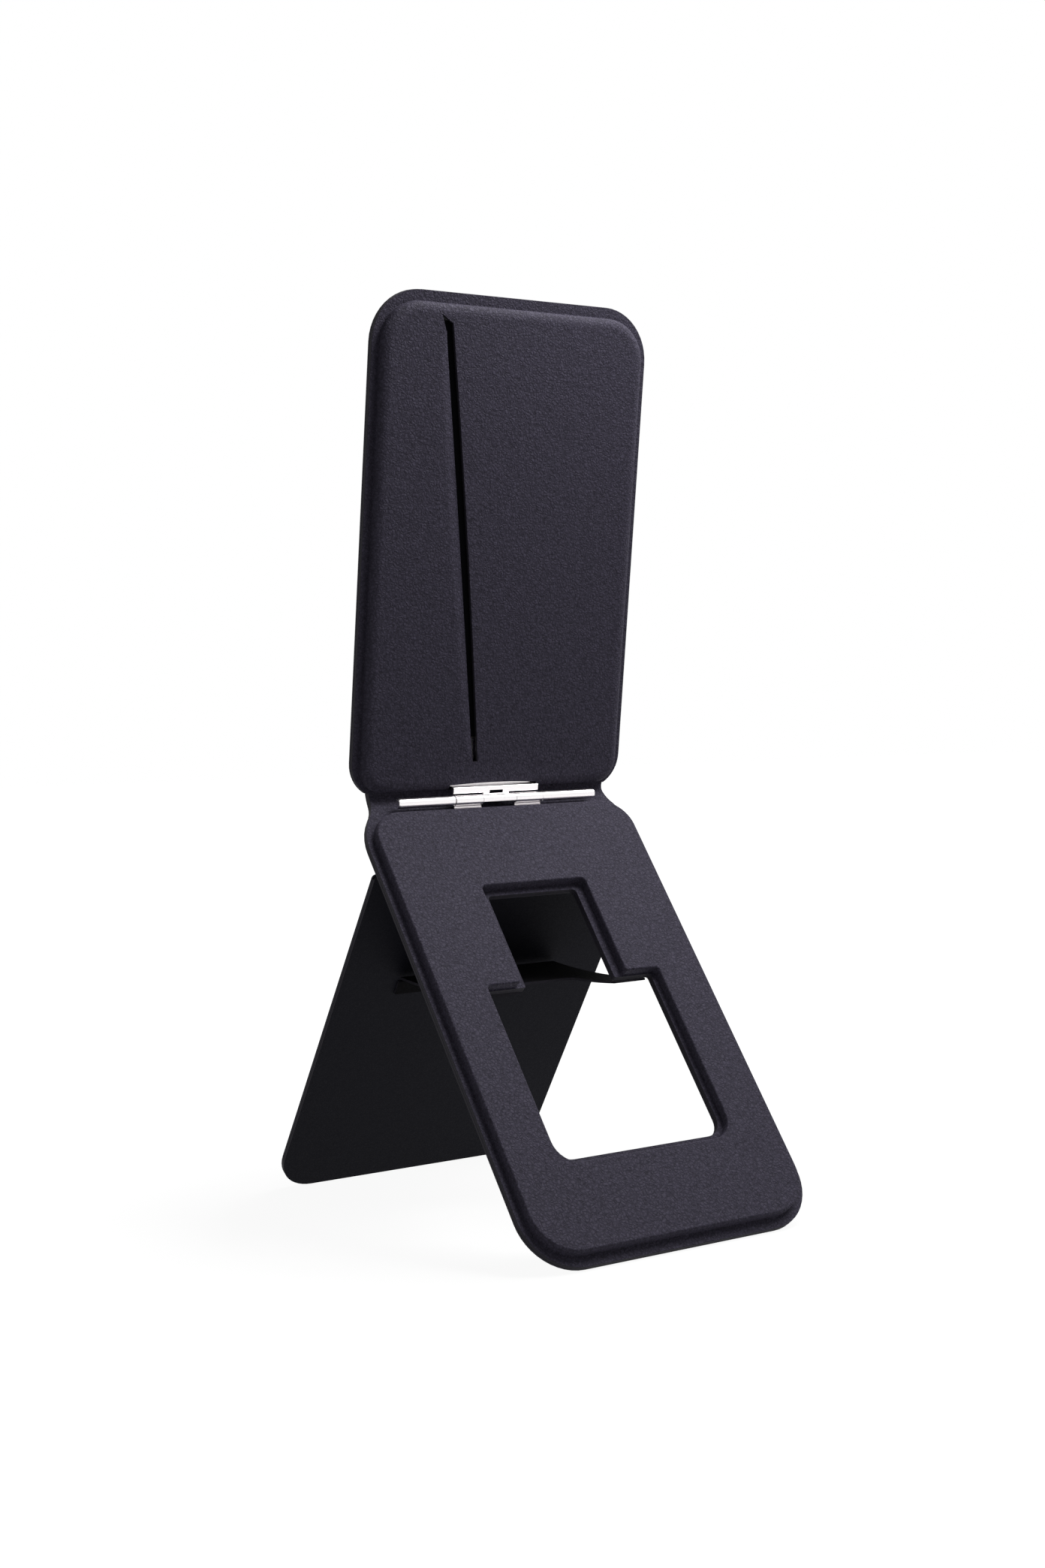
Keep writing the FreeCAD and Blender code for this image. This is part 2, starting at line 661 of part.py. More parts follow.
def notch(sketch, hand):
    """One hollow side of the neck: an arc from shoulder to shoulder, through the waist."""
    low_y, mid_y = "-frame_neck_end", "bend_start / 2"
    high_y = "bend_start + (bend_radius + skin) * sin(fold) + skin"
    clear = f"{hand} * panel_width"
    places = [(f"{hand} * wallet_shoulder_x", high_y), (clear, high_y), (clear, low_y),
              (f"{hand} * frame_shoulder_x", low_y)]
    corners = [FreeCAD.Vector(value(x), value(y), 0) for x, y in places]
    lines = [sketch.addGeometry(Part.LineSegment(a, b)) for a, b in zip(corners, corners[1:])]
    for before, after in zip(lines, lines[1:]):
        tie(sketch, "Coincident", before, 2, after, 1)
    for (line, end), (x, y) in zip([(line, 1) for line in lines] + [(lines[-1], 2)], places):
        fix(sketch, "DistanceX", -1, 1, line, end, formula=x)
        fix(sketch, "DistanceY", -1, 1, line, end, formula=y)
    waist_x = f"{hand} * (panel_width / 2 - neck_inset)"
    middle = FreeCAD.Vector(value(waist_x), value(mid_y), 0)
    waist = sketch.addGeometry(Part.Point(middle), True)
    fix(sketch, "DistanceX", -1, 1, waist, 1, formula=waist_x)
    fix(sketch, "DistanceY", -1, 1, waist, 1, formula=mid_y)
    hollow = sketch.addGeometry(Part.Arc(corners[-1], middle, corners[0]))
    first, last = (1, 2) if hand < 0 else (2, 1)
    tie(sketch, "Coincident", lines[-1], 2, hollow, first)
    tie(sketch, "Coincident", hollow, last, lines[0], 1)
    tie(sketch, "PointOnObject", waist, 1, hollow)


# ------------------------------------------------------------------------ wallet panel

POCKET_FLOOR = "(carrier - wallet_setback - skin)"


def phone_side_skin():
    """Flat leather skin that the phone sits against."""
    sheet("phone_side_skin", ON_WALLET, "-wallet_back", "skin", wallet_panel)


def key_magnet_box(sketch, centre, grow):
    """The place of the bar magnet below a ring about a centre, grown all round."""
    top = f"({centre} - ring_outer_radius - key_magnet_gap + {grow})"
    half = f"(key_magnet_width / 2 + {grow})"
    box(sketch, f"-{half}", half, f"{top} - key_magnet_length - 2 * {grow}", top)


def magnet_carrier():
    """Board that holds the magnet ring from behind and the hinge leaf from in front."""
    body = sheet("magnet_carrier", ON_WALLET, "-wallet_setback - skin", "carrier",
                 lambda sketch: wallet_pad(sketch, "(skin + fit_gap)"),
                 lambda sketch: rivet_holes(sketch, 1, "rivet_radius + bar_clearance"))
    seat = new_sketch(body, lift=POCKET_FLOOR)
    half = "(upper_leaf_half + fit_gap)"
    box(seat, f"-{half}", half, "0", "leaf_reach + fit_gap")
    cut(body, seat, "leaf")
    groove = new_sketch(body, lift="-wallet_setback - skin")
    circle(groove, "0", "ring_centre", "ring_outer_radius + fit_gap")
    circle(groove, "0", "ring_centre", "ring_inner_radius - fit_gap")
    cut(body, groove, "ring_magnet + shield", up=True)
    key = new_sketch(body, lift="-wallet_setback - skin")
    key_magnet_box(key, "ring_centre", "fit_gap")
    cut(body, key, "ring_magnet", up=True)


def ring_magnets():
    """Ring of arc magnets that the phone's own ring snaps to."""
    body = new_body("ring_magnets", AT_RING)
    sketch = new_sketch(body, lift="-wallet_setback - skin")
    half = "(180 / ring_segments - segment_gap_angle / 2)"
    angle = radians(value(half))
    ends = {}
    for name in ("ring_inner_radius", "ring_outer_radius"):
        radius = value(name)
        low = FreeCAD.Vector(radius * cos(-angle), radius * sin(-angle), 0)
        high = FreeCAD.Vector(radius * cos(angle), radius * sin(angle), 0)
        index = sketch.addGeometry(arc(FreeCAD.Vector(0, 0, 0), low, high))
        ends[name] = (index, low, high)
        tie(sketch, "Coincident", -1, 1, index, 3)
        fix(sketch, "Radius", index, formula=name)
    inner, inner_low, inner_high = ends["ring_inner_radius"]
    outer, outer_low, outer_high = ends["ring_outer_radius"]
    for end, start, stop in ((1, inner_low, outer_low), (2, inner_high, outer_high)):
        side = sketch.addGeometry(Part.LineSegment(start, stop))
        tie(sketch, "Coincident", side, 1, inner, end)
        tie(sketch, "Coincident", side, 2, outer, end)
        way = "-1" if end == 1 else "1"
        fix(sketch, "DistanceY", -1, 1, side, 1, formula=f"{way} * ring_inner_radius * sin({half})")
        fix(sketch, "DistanceY", -1, 1, side, 2, formula=f"{way} * ring_outer_radius * sin({half})")
    segment = extrude(body, sketch, "ring_magnet")
    ring = body.newObject("PartDesign::PolarPattern", "ring")
    ring.Originals = [segment]
    ring.Axis = axis_of(body, "Z_Axis")
    ring.Angle = 360
    ring.setExpression("Occurrences", qualified("ring_segments"))
    body.Tip = ring


def alignment_magnet():
    """Bar magnet below the ring that keeps the phone upright."""
    sheet("alignment_magnet", AT_RING, "-wallet_setback - skin", "ring_magnet",
          lambda sketch: key_magnet_box(sketch, "0", "0"))


def shield_ring():
    """Thin steel washer in front of the magnets that keeps their field off the cards."""
    sheet("shield_ring", AT_RING, "ring_magnet - wallet_setback - skin", "shield",
          lambda sketch: circle(sketch, "0", "0", "ring_outer_radius"),
          lambda sketch: circle(sketch, "0", "0", "ring_inner_radius"))


def pocket_liner():
    """Thin cloth that the cards slide on, above the hinge leaf."""
    half = "(card_half_width - fit_gap)"
    sheet("pocket_liner", ON_WALLET, POCKET_FLOOR, "liner",
          lambda sketch: box(sketch, f"-{half}", half, "leaf_reach + 2 * fit_gap",
                             "card_top - fit_gap", None, "card_corner - fit_gap"))


def pocket_spacer():
    """Foam frame round the cards that gives the pocket its depth."""
    half = "(cavity_half - fit_gap)"
    sheet("pocket_spacer", ON_WALLET, POCKET_FLOOR, "wallet_pad_rise - carrier",
          lambda sketch: box(sketch, f"-{half}", half, "pocket_start", "cavity_far - fit_gap",
                             "wallet_pad_corner - skin - fit_gap",
                             "pad_free_corner - skin - fit_gap"),
          lambda sketch: box(sketch, "-card_half_width", "card_half_width", "card_bottom",
                             "card_top", "card_corner", "card_corner"))


def bowed_slit(sketch):
    """The card mouth: two long bowed lips between a short top end and a shorter bottom one."""
    ends = {"top": ("slit_top", "slit_top_x", "slit_top_width"),
            "bottom": ("slit_bottom", "slit_bottom_x", "slit_bottom_width")}
    lines = {}
    for name, (y, x, width) in ends.items():
        left = FreeCAD.Vector(-value(x), value(y), 0)
        right = left + FreeCAD.Vector(value(width), 0, 0)
        line = sketch.addGeometry(Part.LineSegment(left, right))
        tie(sketch, "Horizontal", line)
        fix(sketch, "DistanceX", -1, 1, line, 1, formula=f"-{x}")
        fix(sketch, "DistanceX", -1, 1, line, 2, formula=f"{width} - {x}")
        fix(sketch, "DistanceY", -1, 1, line, 1, formula=y)
        lines[name] = (line, left, right)
    bow, run = value("slit_bow"), "(slit_top - slit_bottom)"
    top, *high = lines["top"]
    bottom, *low = lines["bottom"]
    for end, shift in ((1, "0"), (2, "slit_top_width - slit_bottom_width")):
        lean = f"(slit_top_x - slit_bottom_x - ({shift}))"
        radius = f"(({lean} ^ 2 + {run} ^ 2) / (8 * slit_bow) + slit_bow / 2)"
        start, stop = low[end - 1], high[end - 1]
        chord = stop - start
        inward = FreeCAD.Vector(-chord.y, chord.x, 0).normalize()
        centre = (start + stop) * 0.5 + inward * (value(radius) - bow)
        lip = sketch.addGeometry(arc(centre, start, stop))
        tie(sketch, "Coincident", lip, 1, bottom, end)
        tie(sketch, "Coincident", lip, 2, top, end)
        fix(sketch, "Radius", lip, formula=radius)


def arched_lip(sketch):
    """The opening at the pad's foot that the hinge leaf enters, under an arched lip."""
    half = "(bracket_half + lip_gap)"
    low, side, rise = value("wallet_neck_end - skin"), value("lip_side"), value("lip_rise")
    reach = value(half)
    radius = f"({half} ^ 2 / (2 * lip_rise) + lip_rise / 2)"
    corners = [FreeCAD.Vector(x, y, 0) for x, y in
               ((-reach, side), (-reach, low), (reach, low), (reach, side))]
    lines = [sketch.addGeometry(Part.LineSegment(a, b)) for a, b in zip(corners, corners[1:])]
    centre = FreeCAD.Vector(0, side + rise - value(radius), 0)
    top = sketch.addGeometry(arc(centre, corners[3], corners[0]))
    for before, after in zip(lines, lines[1:]):
        tie(sketch, "Coincident", before, 2, after, 1)
    tie(sketch, "Coincident", lines[2], 2, top, 1)
    tie(sketch, "Coincident", top, 2, lines[0], 1)
    places = ((lines[0], 1, f"-{half}", "lip_side"), (lines[1], 1, f"-{half}", "wallet_neck_end - skin"),
              (lines[2], 1, half, "wallet_neck_end - skin"), (lines[2], 2, half, "lip_side"))
    for line, end, x, y in places:
        fix(sketch, "DistanceX", -1, 1, line, end, formula=x)
        fix(sketch, "DistanceY", -1, 1, line, end, formula=y)
    fix(sketch, "Radius", top, formula=radius)


def pocket_front_skin():
    """Leather skin pressed into a flange and the pocket's raised front, with the slit."""
    body = new_body("pocket_front_skin", ON_WALLET)
    flange = new_sketch(body, lift="-wallet_setback")
    wallet_panel(flange)
    extrude(body, flange, "skin", down=True)
    crown = new_sketch(body, lift="-wallet_setback")
    wallet_pad(crown, "0")
    raised = extrude(body, crown, "wallet_pad_rise")
    crest = at_height("wallet_pad_rise - wallet_setback")
    dress_edges(body, "Chamfer", raised, crest, "pad_bevel")
    hollow = new_sketch(body, lift="-wallet_setback - skin")
    wallet_pad(hollow, "skin")
    cut(body, hollow, "wallet_pad_rise", up=True)
    for opening in (bowed_slit, arched_lip):
        sketch = new_sketch(body)
        opening(sketch)
        cut(body, sketch, "wallet_setback + 2 * skin")


def upper_hinge_leaf():
    """Steel leaf riveted into the wallet, joggled forward into the slotted bracket."""
    body = new_body("upper_hinge_leaf", ON_WALLET)
    leaf_front = POCKET_FLOOR
    leaf_back = f"({POCKET_FLOOR} - leaf)"
    foot = "(bracket_top - leaf)"
    bracket_back = "(-bracket_front - bracket)"
    strip = new_sketch(body, "YZ_Plane")
    outline(strip, [(foot, leaf_back), ("leaf_reach", leaf_back), ("leaf_reach", leaf_front),
                    ("bracket_top", leaf_front), ("bracket_top", f"{bracket_back} + leaf / 2"),
                    (foot, f"{bracket_back} + leaf / 2")])
    extrude(body, strip, "2 * upper_leaf_half", both=True)
    face = new_sketch(body, "YZ_Plane")
    box(face, "bracket_bottom", "bracket_top", bracket_back, "-bracket_front")
    bracket = extrude(body, face, "2 * bracket_half", both=True)
    dress_edges(body, "Fillet", bracket,
                lambda edge: (at_height("-bracket_front")(edge)
                              and edge.BoundBox.XLength > value("bracket_half")),
                "bracket_round")
    tongue = new_sketch(body, "YZ_Plane")
    box(tongue, "0", "bracket_bottom + bracket / 4", bracket_back, "-bracket_front")
    extrude(body, tongue, "2 * tongue_half", both=True)
    roll = new_sketch(body, "YZ_Plane")
    circle(roll, "0", "0", "knuckle_diameter / 2")
    extrude(body, roll, "centre_knuckle", both=True)
    bore = new_sketch(body, "YZ_Plane")
    circle(bore, "0", "0", "pin_diameter / 2 + bore_clearance")
    cut(body, bore, "2 * centre_knuckle", both=True)
    relief = new_sketch(body, "YZ_Plane")
    box(relief, "-knuckle_diameter", "-knuckle_relief", "-2 * knuckle_diameter", "knuckle_diameter")
    cut(body, relief, "2 * centre_knuckle", both=True)
    slot = new_sketch(body)
    box(slot, "-slot_half", "slot_half", "slot_bottom", "slot_top")
    cut(body, slot, "wallet_back")
    holes = new_sketch(body)
    rivet_holes(holes, 1, "rivet_radius + bar_clearance")
    cut(body, holes, "wallet_back")


def upper_leaf_rivets():
    """Two flush rivets through the upper leaf and the magnet carrier."""
    sheet("upper_leaf_rivets", ON_WALLET, "-wallet_setback - skin", "carrier",
          lambda sketch: rivet_holes(sketch, 1, "rivet_radius"))


# ------------------------------------------------------------------------- support leg

def leg_outline(sketch, inset="0"):
    half = f"(leg_half - {inset})"
    box(sketch, f"-{half}", half, f"{inset} - leg_reach", f"-leg_gap - {inset}",
        f"leg_corner - {inset}", "leg_top_corner")


def leg_outer_skin():
    """Smooth skin on the leg's outer face, which runs up through the crease."""
    sheet("leg_outer_skin", ON_LEG, "-leg_thickness", "leg_skin", leg_outline)


def leg_board():
    """Stiff board inside the leg."""
    sheet("leg_board", ON_LEG, "-leg_skin - leg_board", "leg_board",
          lambda sketch: leg_outline(sketch, "leg_board_margin"),
          lambda sketch: catch_bars(sketch, "(catch_reach - leg_crease)", "fit_gap"))


def leg_rim():
    """Filler strip round the board, so the two skins close on it."""
    sheet("leg_rim", ON_LEG, "-leg_skin - leg_board", "leg_board", leg_outline,
          lambda sketch: leg_outline(sketch, "(leg_board_margin - fit_gap)"))


def leg_inner_skin():
    """Smooth skin on the leg's inner face."""
    sheet("leg_inner_skin", ON_LEG, "-leg_skin", "leg_skin", leg_outline)


def leg_catch_plates():
    """Two steel bars in the leg that the frame's magnets pull on."""
    sheet("leg_catch_plates", ON_LEG, "-leg_skin - leg_board", "leg_board",
          lambda sketch: catch_bars(sketch, "(catch_reach - leg_crease)"))


def web_glue_tab():
    """End of the brace web, turned down and glued to the leg's inner face."""
    sheet("web_glue_tab", ON_LEG, "0", "web",
          lambda sketch: box(sketch, "-web_half_width", "web_half_width",
                             "-web_reach - web_tab", "-web_reach - 2 * web"))


def leg_hinge_tab():
    """Top of the leg's skin, glued to the frame's back above the crease."""
    sheet("leg_hinge_tab", ON_FRAME, "-frame_back - leg_skin", "leg_skin",
          lambda sketch: box(sketch, "-tab_half_width", "tab_half_width",
                             "crease_start - leg_crease", "-tab_near", None, "tab_corner"))


def leg_crease_skin():
    """The bare bend of the leg's skin between its tab and the leg."""
    body = new_body("leg_crease_skin", ON_FRAME)
    sketch = new_sketch(body, "XZ_Plane", lift="leg_crease - crease_start")
    box(sketch, "-tab_half_width", "tab_half_width", "-frame_back - leg_skin", "-frame_back")
    height = "-frame_back - leg_skin / 2 - crease_radius"
    spine = sketch.addGeometry(Part.LineSegment(FreeCAD.Vector(-1, value(height), 0),
                                                FreeCAD.Vector(1, value(height), 0)), True)
    tie(sketch, "Horizontal", spine)
    fix(sketch, "DistanceY", -1, 1, spine, 1, formula=height)
    fix(sketch, "DistanceX", -1, 1, spine, 1, formula="-1")
    fix(sketch, "DistanceX", -1, 1, spine, 2, formula="1")
    turn(body, sketch, (sketch, ["Axis0"]), "spread - 180 * seam_gap / (3 * crease_radius)")


def brace_web():
    """Thin web that hangs from the window's two steps to the leg, notched between them."""
    body = new_body("brace_web", AT_WEB)
    sketch = new_sketch(body, "YZ_Plane")
    chord = "(web_chord - web - seam_gap)"
    ends = [FreeCAD.Vector(value("seam_gap"), 0, 0), FreeCAD.Vector(value(chord), 0, 0)]
    drop = FreeCAD.Vector(0, -value("web"), 0)
    middle = (ends[0] + ends[1]) * 0.5
    centre = middle + FreeCAD.Vector(0, value("web_radius") - value("web_sag"), 0)
    top = sketch.addGeometry(arc(centre, *ends))
    bottom = sketch.addGeometry(arc(centre + drop, *[end + drop for end in ends]))
    for index, x in ((0, "seam_gap"), (1, chord)):
        side = sketch.addGeometry(Part.LineSegment(ends[index], ends[index] + drop))
        tie(sketch, "Coincident", side, 1, top, index + 1)
        tie(sketch, "Coincident", side, 2, bottom, index + 1)
        tie(sketch, "Vertical", side)
        fix(sketch, "DistanceX", -1, 1, side, 1, formula=x)
        fix(sketch, "DistanceY", -1, 1, side, 1, formula="0")
    fix(sketch, "DistanceY", -1, 1, bottom, 1, formula="-web")
    for index in (top, bottom):
        fix(sketch, "Radius", index, formula="web_radius")
    extrude(body, sketch, "2 * web_half_width", both=True)
    opening = new_sketch(body)
    box(opening, "-window_neck_half", "window_neck_half", "-web", "web_notch",
        None, "web_notch_corner")
    cut(body, opening, "8 * web", both=True)


# ----------------------------------------------------------------------- build and save

for make in (frame_back_skin, frame_board, frame_pad_core, frame_front_skin, leg_catch_magnets,
             lower_hinge_leaf, lower_leaf_rivets, hinge_pin,
             phone_side_skin, magnet_carrier, ring_magnets, alignment_magnet, shield_ring,
             pocket_liner, pocket_spacer, pocket_front_skin, upper_hinge_leaf, upper_leaf_rivets,
             leg_outer_skin, leg_board, leg_rim, leg_inner_skin, leg_catch_plates, web_glue_tab,
             leg_hinge_tab, leg_crease_skin, neck_skin, brace_web):
    make()
hinge_bar("hinge_bar_left", -1)
hinge_bar("hinge_bar_right", 1)
doc.recompute()

for item in doc.Objects:
    if "Invalid" in item.State or "Error" in item.State:
        raise RuntimeError(f"{item.Label} did not build: {item.State}")
for body in NODES:
    if body.Shape.isNull() or not body.Shape.isValid() or not body.Shape.Solids:
        raise RuntimeError(f"{body.Label} has no sound solid")

os.makedirs("parts", exist_ok=True)
for body in NODES:
    body.Shape.exportStep(f"parts/{body.Label}.step")
    print(f"{body.Label}: {len(body.Shape.Solids)} solid(s), {body.Shape.Volume:.2f} mm3")
print("pin", round(value("pin_y"), 4), round(value("pin_height"), 4),
      "crease", round(value("pin_y + crease_back"), 4), round(value("crease_height"), 4))
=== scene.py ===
from math import cos, pi, radians, sin

import bmesh
import bpy
from mathutils import Matrix, Vector


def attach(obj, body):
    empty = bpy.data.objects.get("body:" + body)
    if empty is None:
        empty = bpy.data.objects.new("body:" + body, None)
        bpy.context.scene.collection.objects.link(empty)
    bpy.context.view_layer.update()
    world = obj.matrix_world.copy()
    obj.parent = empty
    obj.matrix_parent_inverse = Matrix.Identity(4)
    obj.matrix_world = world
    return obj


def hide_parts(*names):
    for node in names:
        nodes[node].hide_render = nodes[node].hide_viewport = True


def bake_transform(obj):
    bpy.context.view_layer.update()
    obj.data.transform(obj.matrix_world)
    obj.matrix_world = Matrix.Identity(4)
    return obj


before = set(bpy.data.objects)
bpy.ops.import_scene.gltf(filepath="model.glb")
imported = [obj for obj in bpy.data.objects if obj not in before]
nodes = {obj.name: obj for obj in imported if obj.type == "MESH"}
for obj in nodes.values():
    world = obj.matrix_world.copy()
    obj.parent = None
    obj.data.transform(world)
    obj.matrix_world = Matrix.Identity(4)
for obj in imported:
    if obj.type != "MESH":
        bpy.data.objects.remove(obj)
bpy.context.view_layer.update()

MM = 0.001

# ------------------------------------------------------------ stand frame: back leather
# Thin goatskin-grained leather that lines the back of the stand frame.  It is cut flat
# with the T-shaped window in it, and glued to the front leather all round its edge.

PIN = Vector((0, 6.4723, 81.3422)) * MM
ON_FRAME = Matrix.Translation(PIN) @ Matrix.Rotation(radians(53.5), 4, "X")
HALF_WIDTH = 32.0 * MM
REACH = 98.6 * MM
SKIN = 0.7 * MM
SKIN_EDGE = 0.12 * MM
FRAME_FACE = -2.1 * MM
FRAME_NEAR = 1.5 * MM
LEATHER = (0.0395, 0.0355, 0.0530)
# The cut edges' own dark colour, made darker still as painted shade for the card slit, whose
# walls take it too.
CUT_EDGE_AND_SLIT_SHADE = (0.0070, 0.0060, 0.0100)


class Wire:
    """A value on its way from one shader node to the next, which takes part in sums."""

    def __init__(self, socket):
        self.socket = socket

    def node(self, kind, feeds=None, out=0, stops=(), **settings):
        """A node of a kind, with its settings, and values or wires into its sockets."""
        tree = self.socket.id_data
        made = tree.nodes.new("ShaderNode" + kind)
        for name, setting in settings.items():
            setattr(made, name, setting)
        for element, (place, colour) in zip(made.color_ramp.elements if stops else (), stops):
            element.position, element.color = place, colour
        for place, feed in (feeds or {}).items():
            if isinstance(feed, Wire):
                tree.links.new(feed.socket, made.inputs[place])
            else:
                made.inputs[place].default_value = feed
        return Wire(made.outputs[out])

    def sum(self, operation, *terms):
        return self.node("Math", dict(enumerate(terms)), operation=operation)

    def __add__(self, other):
        return self.sum("ADD", self, other)

    def __radd__(self, other):
        return self.sum("ADD", other, self)

    def __sub__(self, other):
        return self.sum("SUBTRACT", self, other)

    def __rsub__(self, other):
        return self.sum("SUBTRACT", other, self)

    def __mul__(self, other):
        return self.sum("MULTIPLY", self, other)

    def __rmul__(self, other):
        return self.sum("MULTIPLY", other, self)

    def between(self, low, high):
        """0 up to low, 1 from high, and straight between."""
        return self.node("MapRange", {0: self, 1: low, 2: high, 3: 0.0, 4: 1.0})

    def mix(self, first, second):
        """The colour that is first where this is 0 and second where it is 1."""
        return self.node("Mix", {0: self, 6: first, 7: second}, out=2, data_type="RGBA")


def finish_named(name):
    """A new material, with the wire of its object coordinates and its surface's node."""
    material = bpy.data.materials.new(name)
    material.use_nodes = True
    tree = material.node_tree
    surface = tree.nodes["Principled BSDF"]
    place = Wire(tree.nodes.new("ShaderNodeTexCoord").outputs["Object"])
    return material, place, surface


def lead(wire, surface, name):
    """Runs a wire into one socket of a surface."""
    surface.id_data.links.new(wire.socket, surface.inputs[name])


def opaque(colour):
    return (*colour, 1.0)


def leather(name, colour, pebble=0.65, depth=0.11, roughness=0.6, grain_contrast=0.45, shine=0.09):
    """Fine pebbled leather: small uneven grains with creases between them."""
    material, place, surface = finish_named(name)
    warp = place.node("TexNoise", {"Vector": place, "Scale": 900.0, "Detail": 3.0}, out=1)
    bent = warp.node("VectorMath", {0: warp, 1: (0.5, 0.5, 0.5)}, operation="SUBTRACT")
    shift = bent.node("VectorMath", {0: bent, "Scale": 0.0011}, operation="SCALE")
    moved = shift.node("VectorMath", {0: shift, 1: place}, operation="ADD")
    grain = moved.node("TexVoronoi", {"Vector": moved, "Scale": 1000.0 / pebble},
                       feature="DISTANCE_TO_EDGE")
    wrinkle = moved.node("TexNoise", {"Vector": moved, "Scale": 1500.0, "Detail": 3.0})
    broad = place.node("TexNoise", {"Vector": place, "Scale": 38.0, "Detail": 2.0})
    crown = grain.between(0.0, 0.3)
    height = crown * 0.5 + wrinkle * 0.9 + broad * 2.2
    bump = height.node("Bump", {"Strength": 1.0, "Distance": depth * MM, "Height": height})
    lead(bump, surface, "Normal")
    # The colour follows the grain's height: darker in its hollows and creases, paler on its
    # crowns.
    shade = (crown * 0.35 + wrinkle * 1.1).between(0.35, 1.05)
    dark = tuple(part * (1 - grain_contrast) for part in colour)
    pale = tuple(part * (1 + grain_contrast) for part in colour)
    lead(shade.mix(opaque(dark), opaque(pale)), surface, "Base Color")
    lead(roughness + 0.12 * (1 - crown), surface, "Roughness")
    surface.inputs["Specular IOR Level"].default_value = shine
    return material


def raw_edge(name, colour):
    """The bare cut edge of leather, with its fibres along it."""
    material, place, surface = finish_named(name)
    fibre = place.node("TexNoise", {"Vector": place, "Scale": 1500.0, "Detail": 4.0})
    dark = tuple(part * 0.7 for part in colour)
    pale = tuple(part * 1.5 for part in colour)
    lead(fibre.between(0.3, 0.7).mix(opaque(dark), opaque(pale)), surface, "Base Color")
    bump = fibre.node("Bump", {"Strength": 0.4, "Distance": 0.05 * MM, "Height": fibre})
    lead(bump, surface, "Normal")
    surface.inputs["Roughness"].default_value = 0.75
    surface.inputs["Specular IOR Level"].default_value = 0.2
    return material


pebbled = leather("pebbled_leather", LEATHER)
cut_edge = raw_edge("cut_edge", CUT_EDGE_AND_SLIT_SHADE)


def choose(kind, test, among=False):
    """In edit mode, selects every VERT, EDGE or FACE whose points all pass a test."""
    bpy.ops.mesh.select_mode(type=kind)
    shape = bmesh.from_edit_mesh(bpy.context.object.data)
    parts = {"VERT": shape.verts, "EDGE": shape.edges, "FACE": shape.faces}[kind]
    chosen = [part for part in parts if (part.select or not among)
              and all(test(vert.co) for vert in ([part] if kind == "VERT" else part.verts))]
    bpy.ops.mesh.select_all(action="DESELECT")
    for part in chosen:
        part.select_set(True)
    shape.select_flush_mode()
    bmesh.update_edit_mesh(bpy.context.object.data)


def edit(piece):
    """Makes a piece the only one selected and opens it for editing."""
    if bpy.context.object and bpy.context.object.mode == "EDIT":
        bpy.ops.object.mode_set(mode="OBJECT")
    bpy.ops.object.select_all(action="DESELECT")
    piece.select_set(True)
    bpy.context.view_layer.objects.active = piece
    bpy.ops.object.mode_set(mode="EDIT")


def move(x=0.0, y=0.0, z=0.0):
    bpy.ops.transform.translate(value=(x, y, z))


def plate(name, half, near, far, height=0.0):
    """A flat face across a panel, open for editing."""
    if bpy.context.object and bpy.context.object.mode == "EDIT":
        bpy.ops.object.mode_set(mode="OBJECT")
    bpy.ops.object.select_all(action="DESELECT")
    bpy.ops.mesh.primitive_plane_add(size=1, location=(0, (near + far) / 2, height))
    piece = bpy.context.object
    piece.name = piece.data.name = name
    piece.scale = (2 * half, abs(far - near), 1)
    bpy.ops.object.transform_apply(location=True, rotation=True, scale=True)
    edit(piece)
    return piece


def round_off(radius, test, segments=12):
    """Rounds those corners of a flat face that pass a test."""
    choose("VERT", test)
    bpy.ops.mesh.bevel(offset=radius, affect="VERTICES", segments=segments, profile=0.5)


def trim(y, keep_far):
    """Cuts a flat piece off square across the panel."""
    bpy.ops.mesh.select_all(action="SELECT")
    bpy.ops.mesh.bisect(plane_co=(0, y, 0), plane_no=(0, 1, 0),
                        clear_inner=keep_far, clear_outer=not keep_far)


def frame_outline(name, height):
    """The stand frame's flat outline, with shoulders that run in to the neck."""
    shoulder, shoulder_reach, corner = 12.0 * MM, 9.0 * MM, 10.5 * MM
    piece = plate(name, HALF_WIDTH, shoulder - shoulder_reach, -REACH, height)
    round_off(corner, lambda p: p.y < -REACH / 2)
    round_off(shoulder, lambda p: p.y > 0)
    trim(-FRAME_NEAR, keep_far=False)
    return piece


WINDOW_NECK, WINDOW_HALF = 10.4 * MM, 19.0 * MM
WINDOW_TOP, WINDOW_STEP, WINDOW_FOOT = -21.6 * MM, -42.5 * MM, -78.4 * MM
WINDOW_CORNERS = (0.8 * MM, 0.4 * MM, 0.6 * MM, 3.5 * MM)


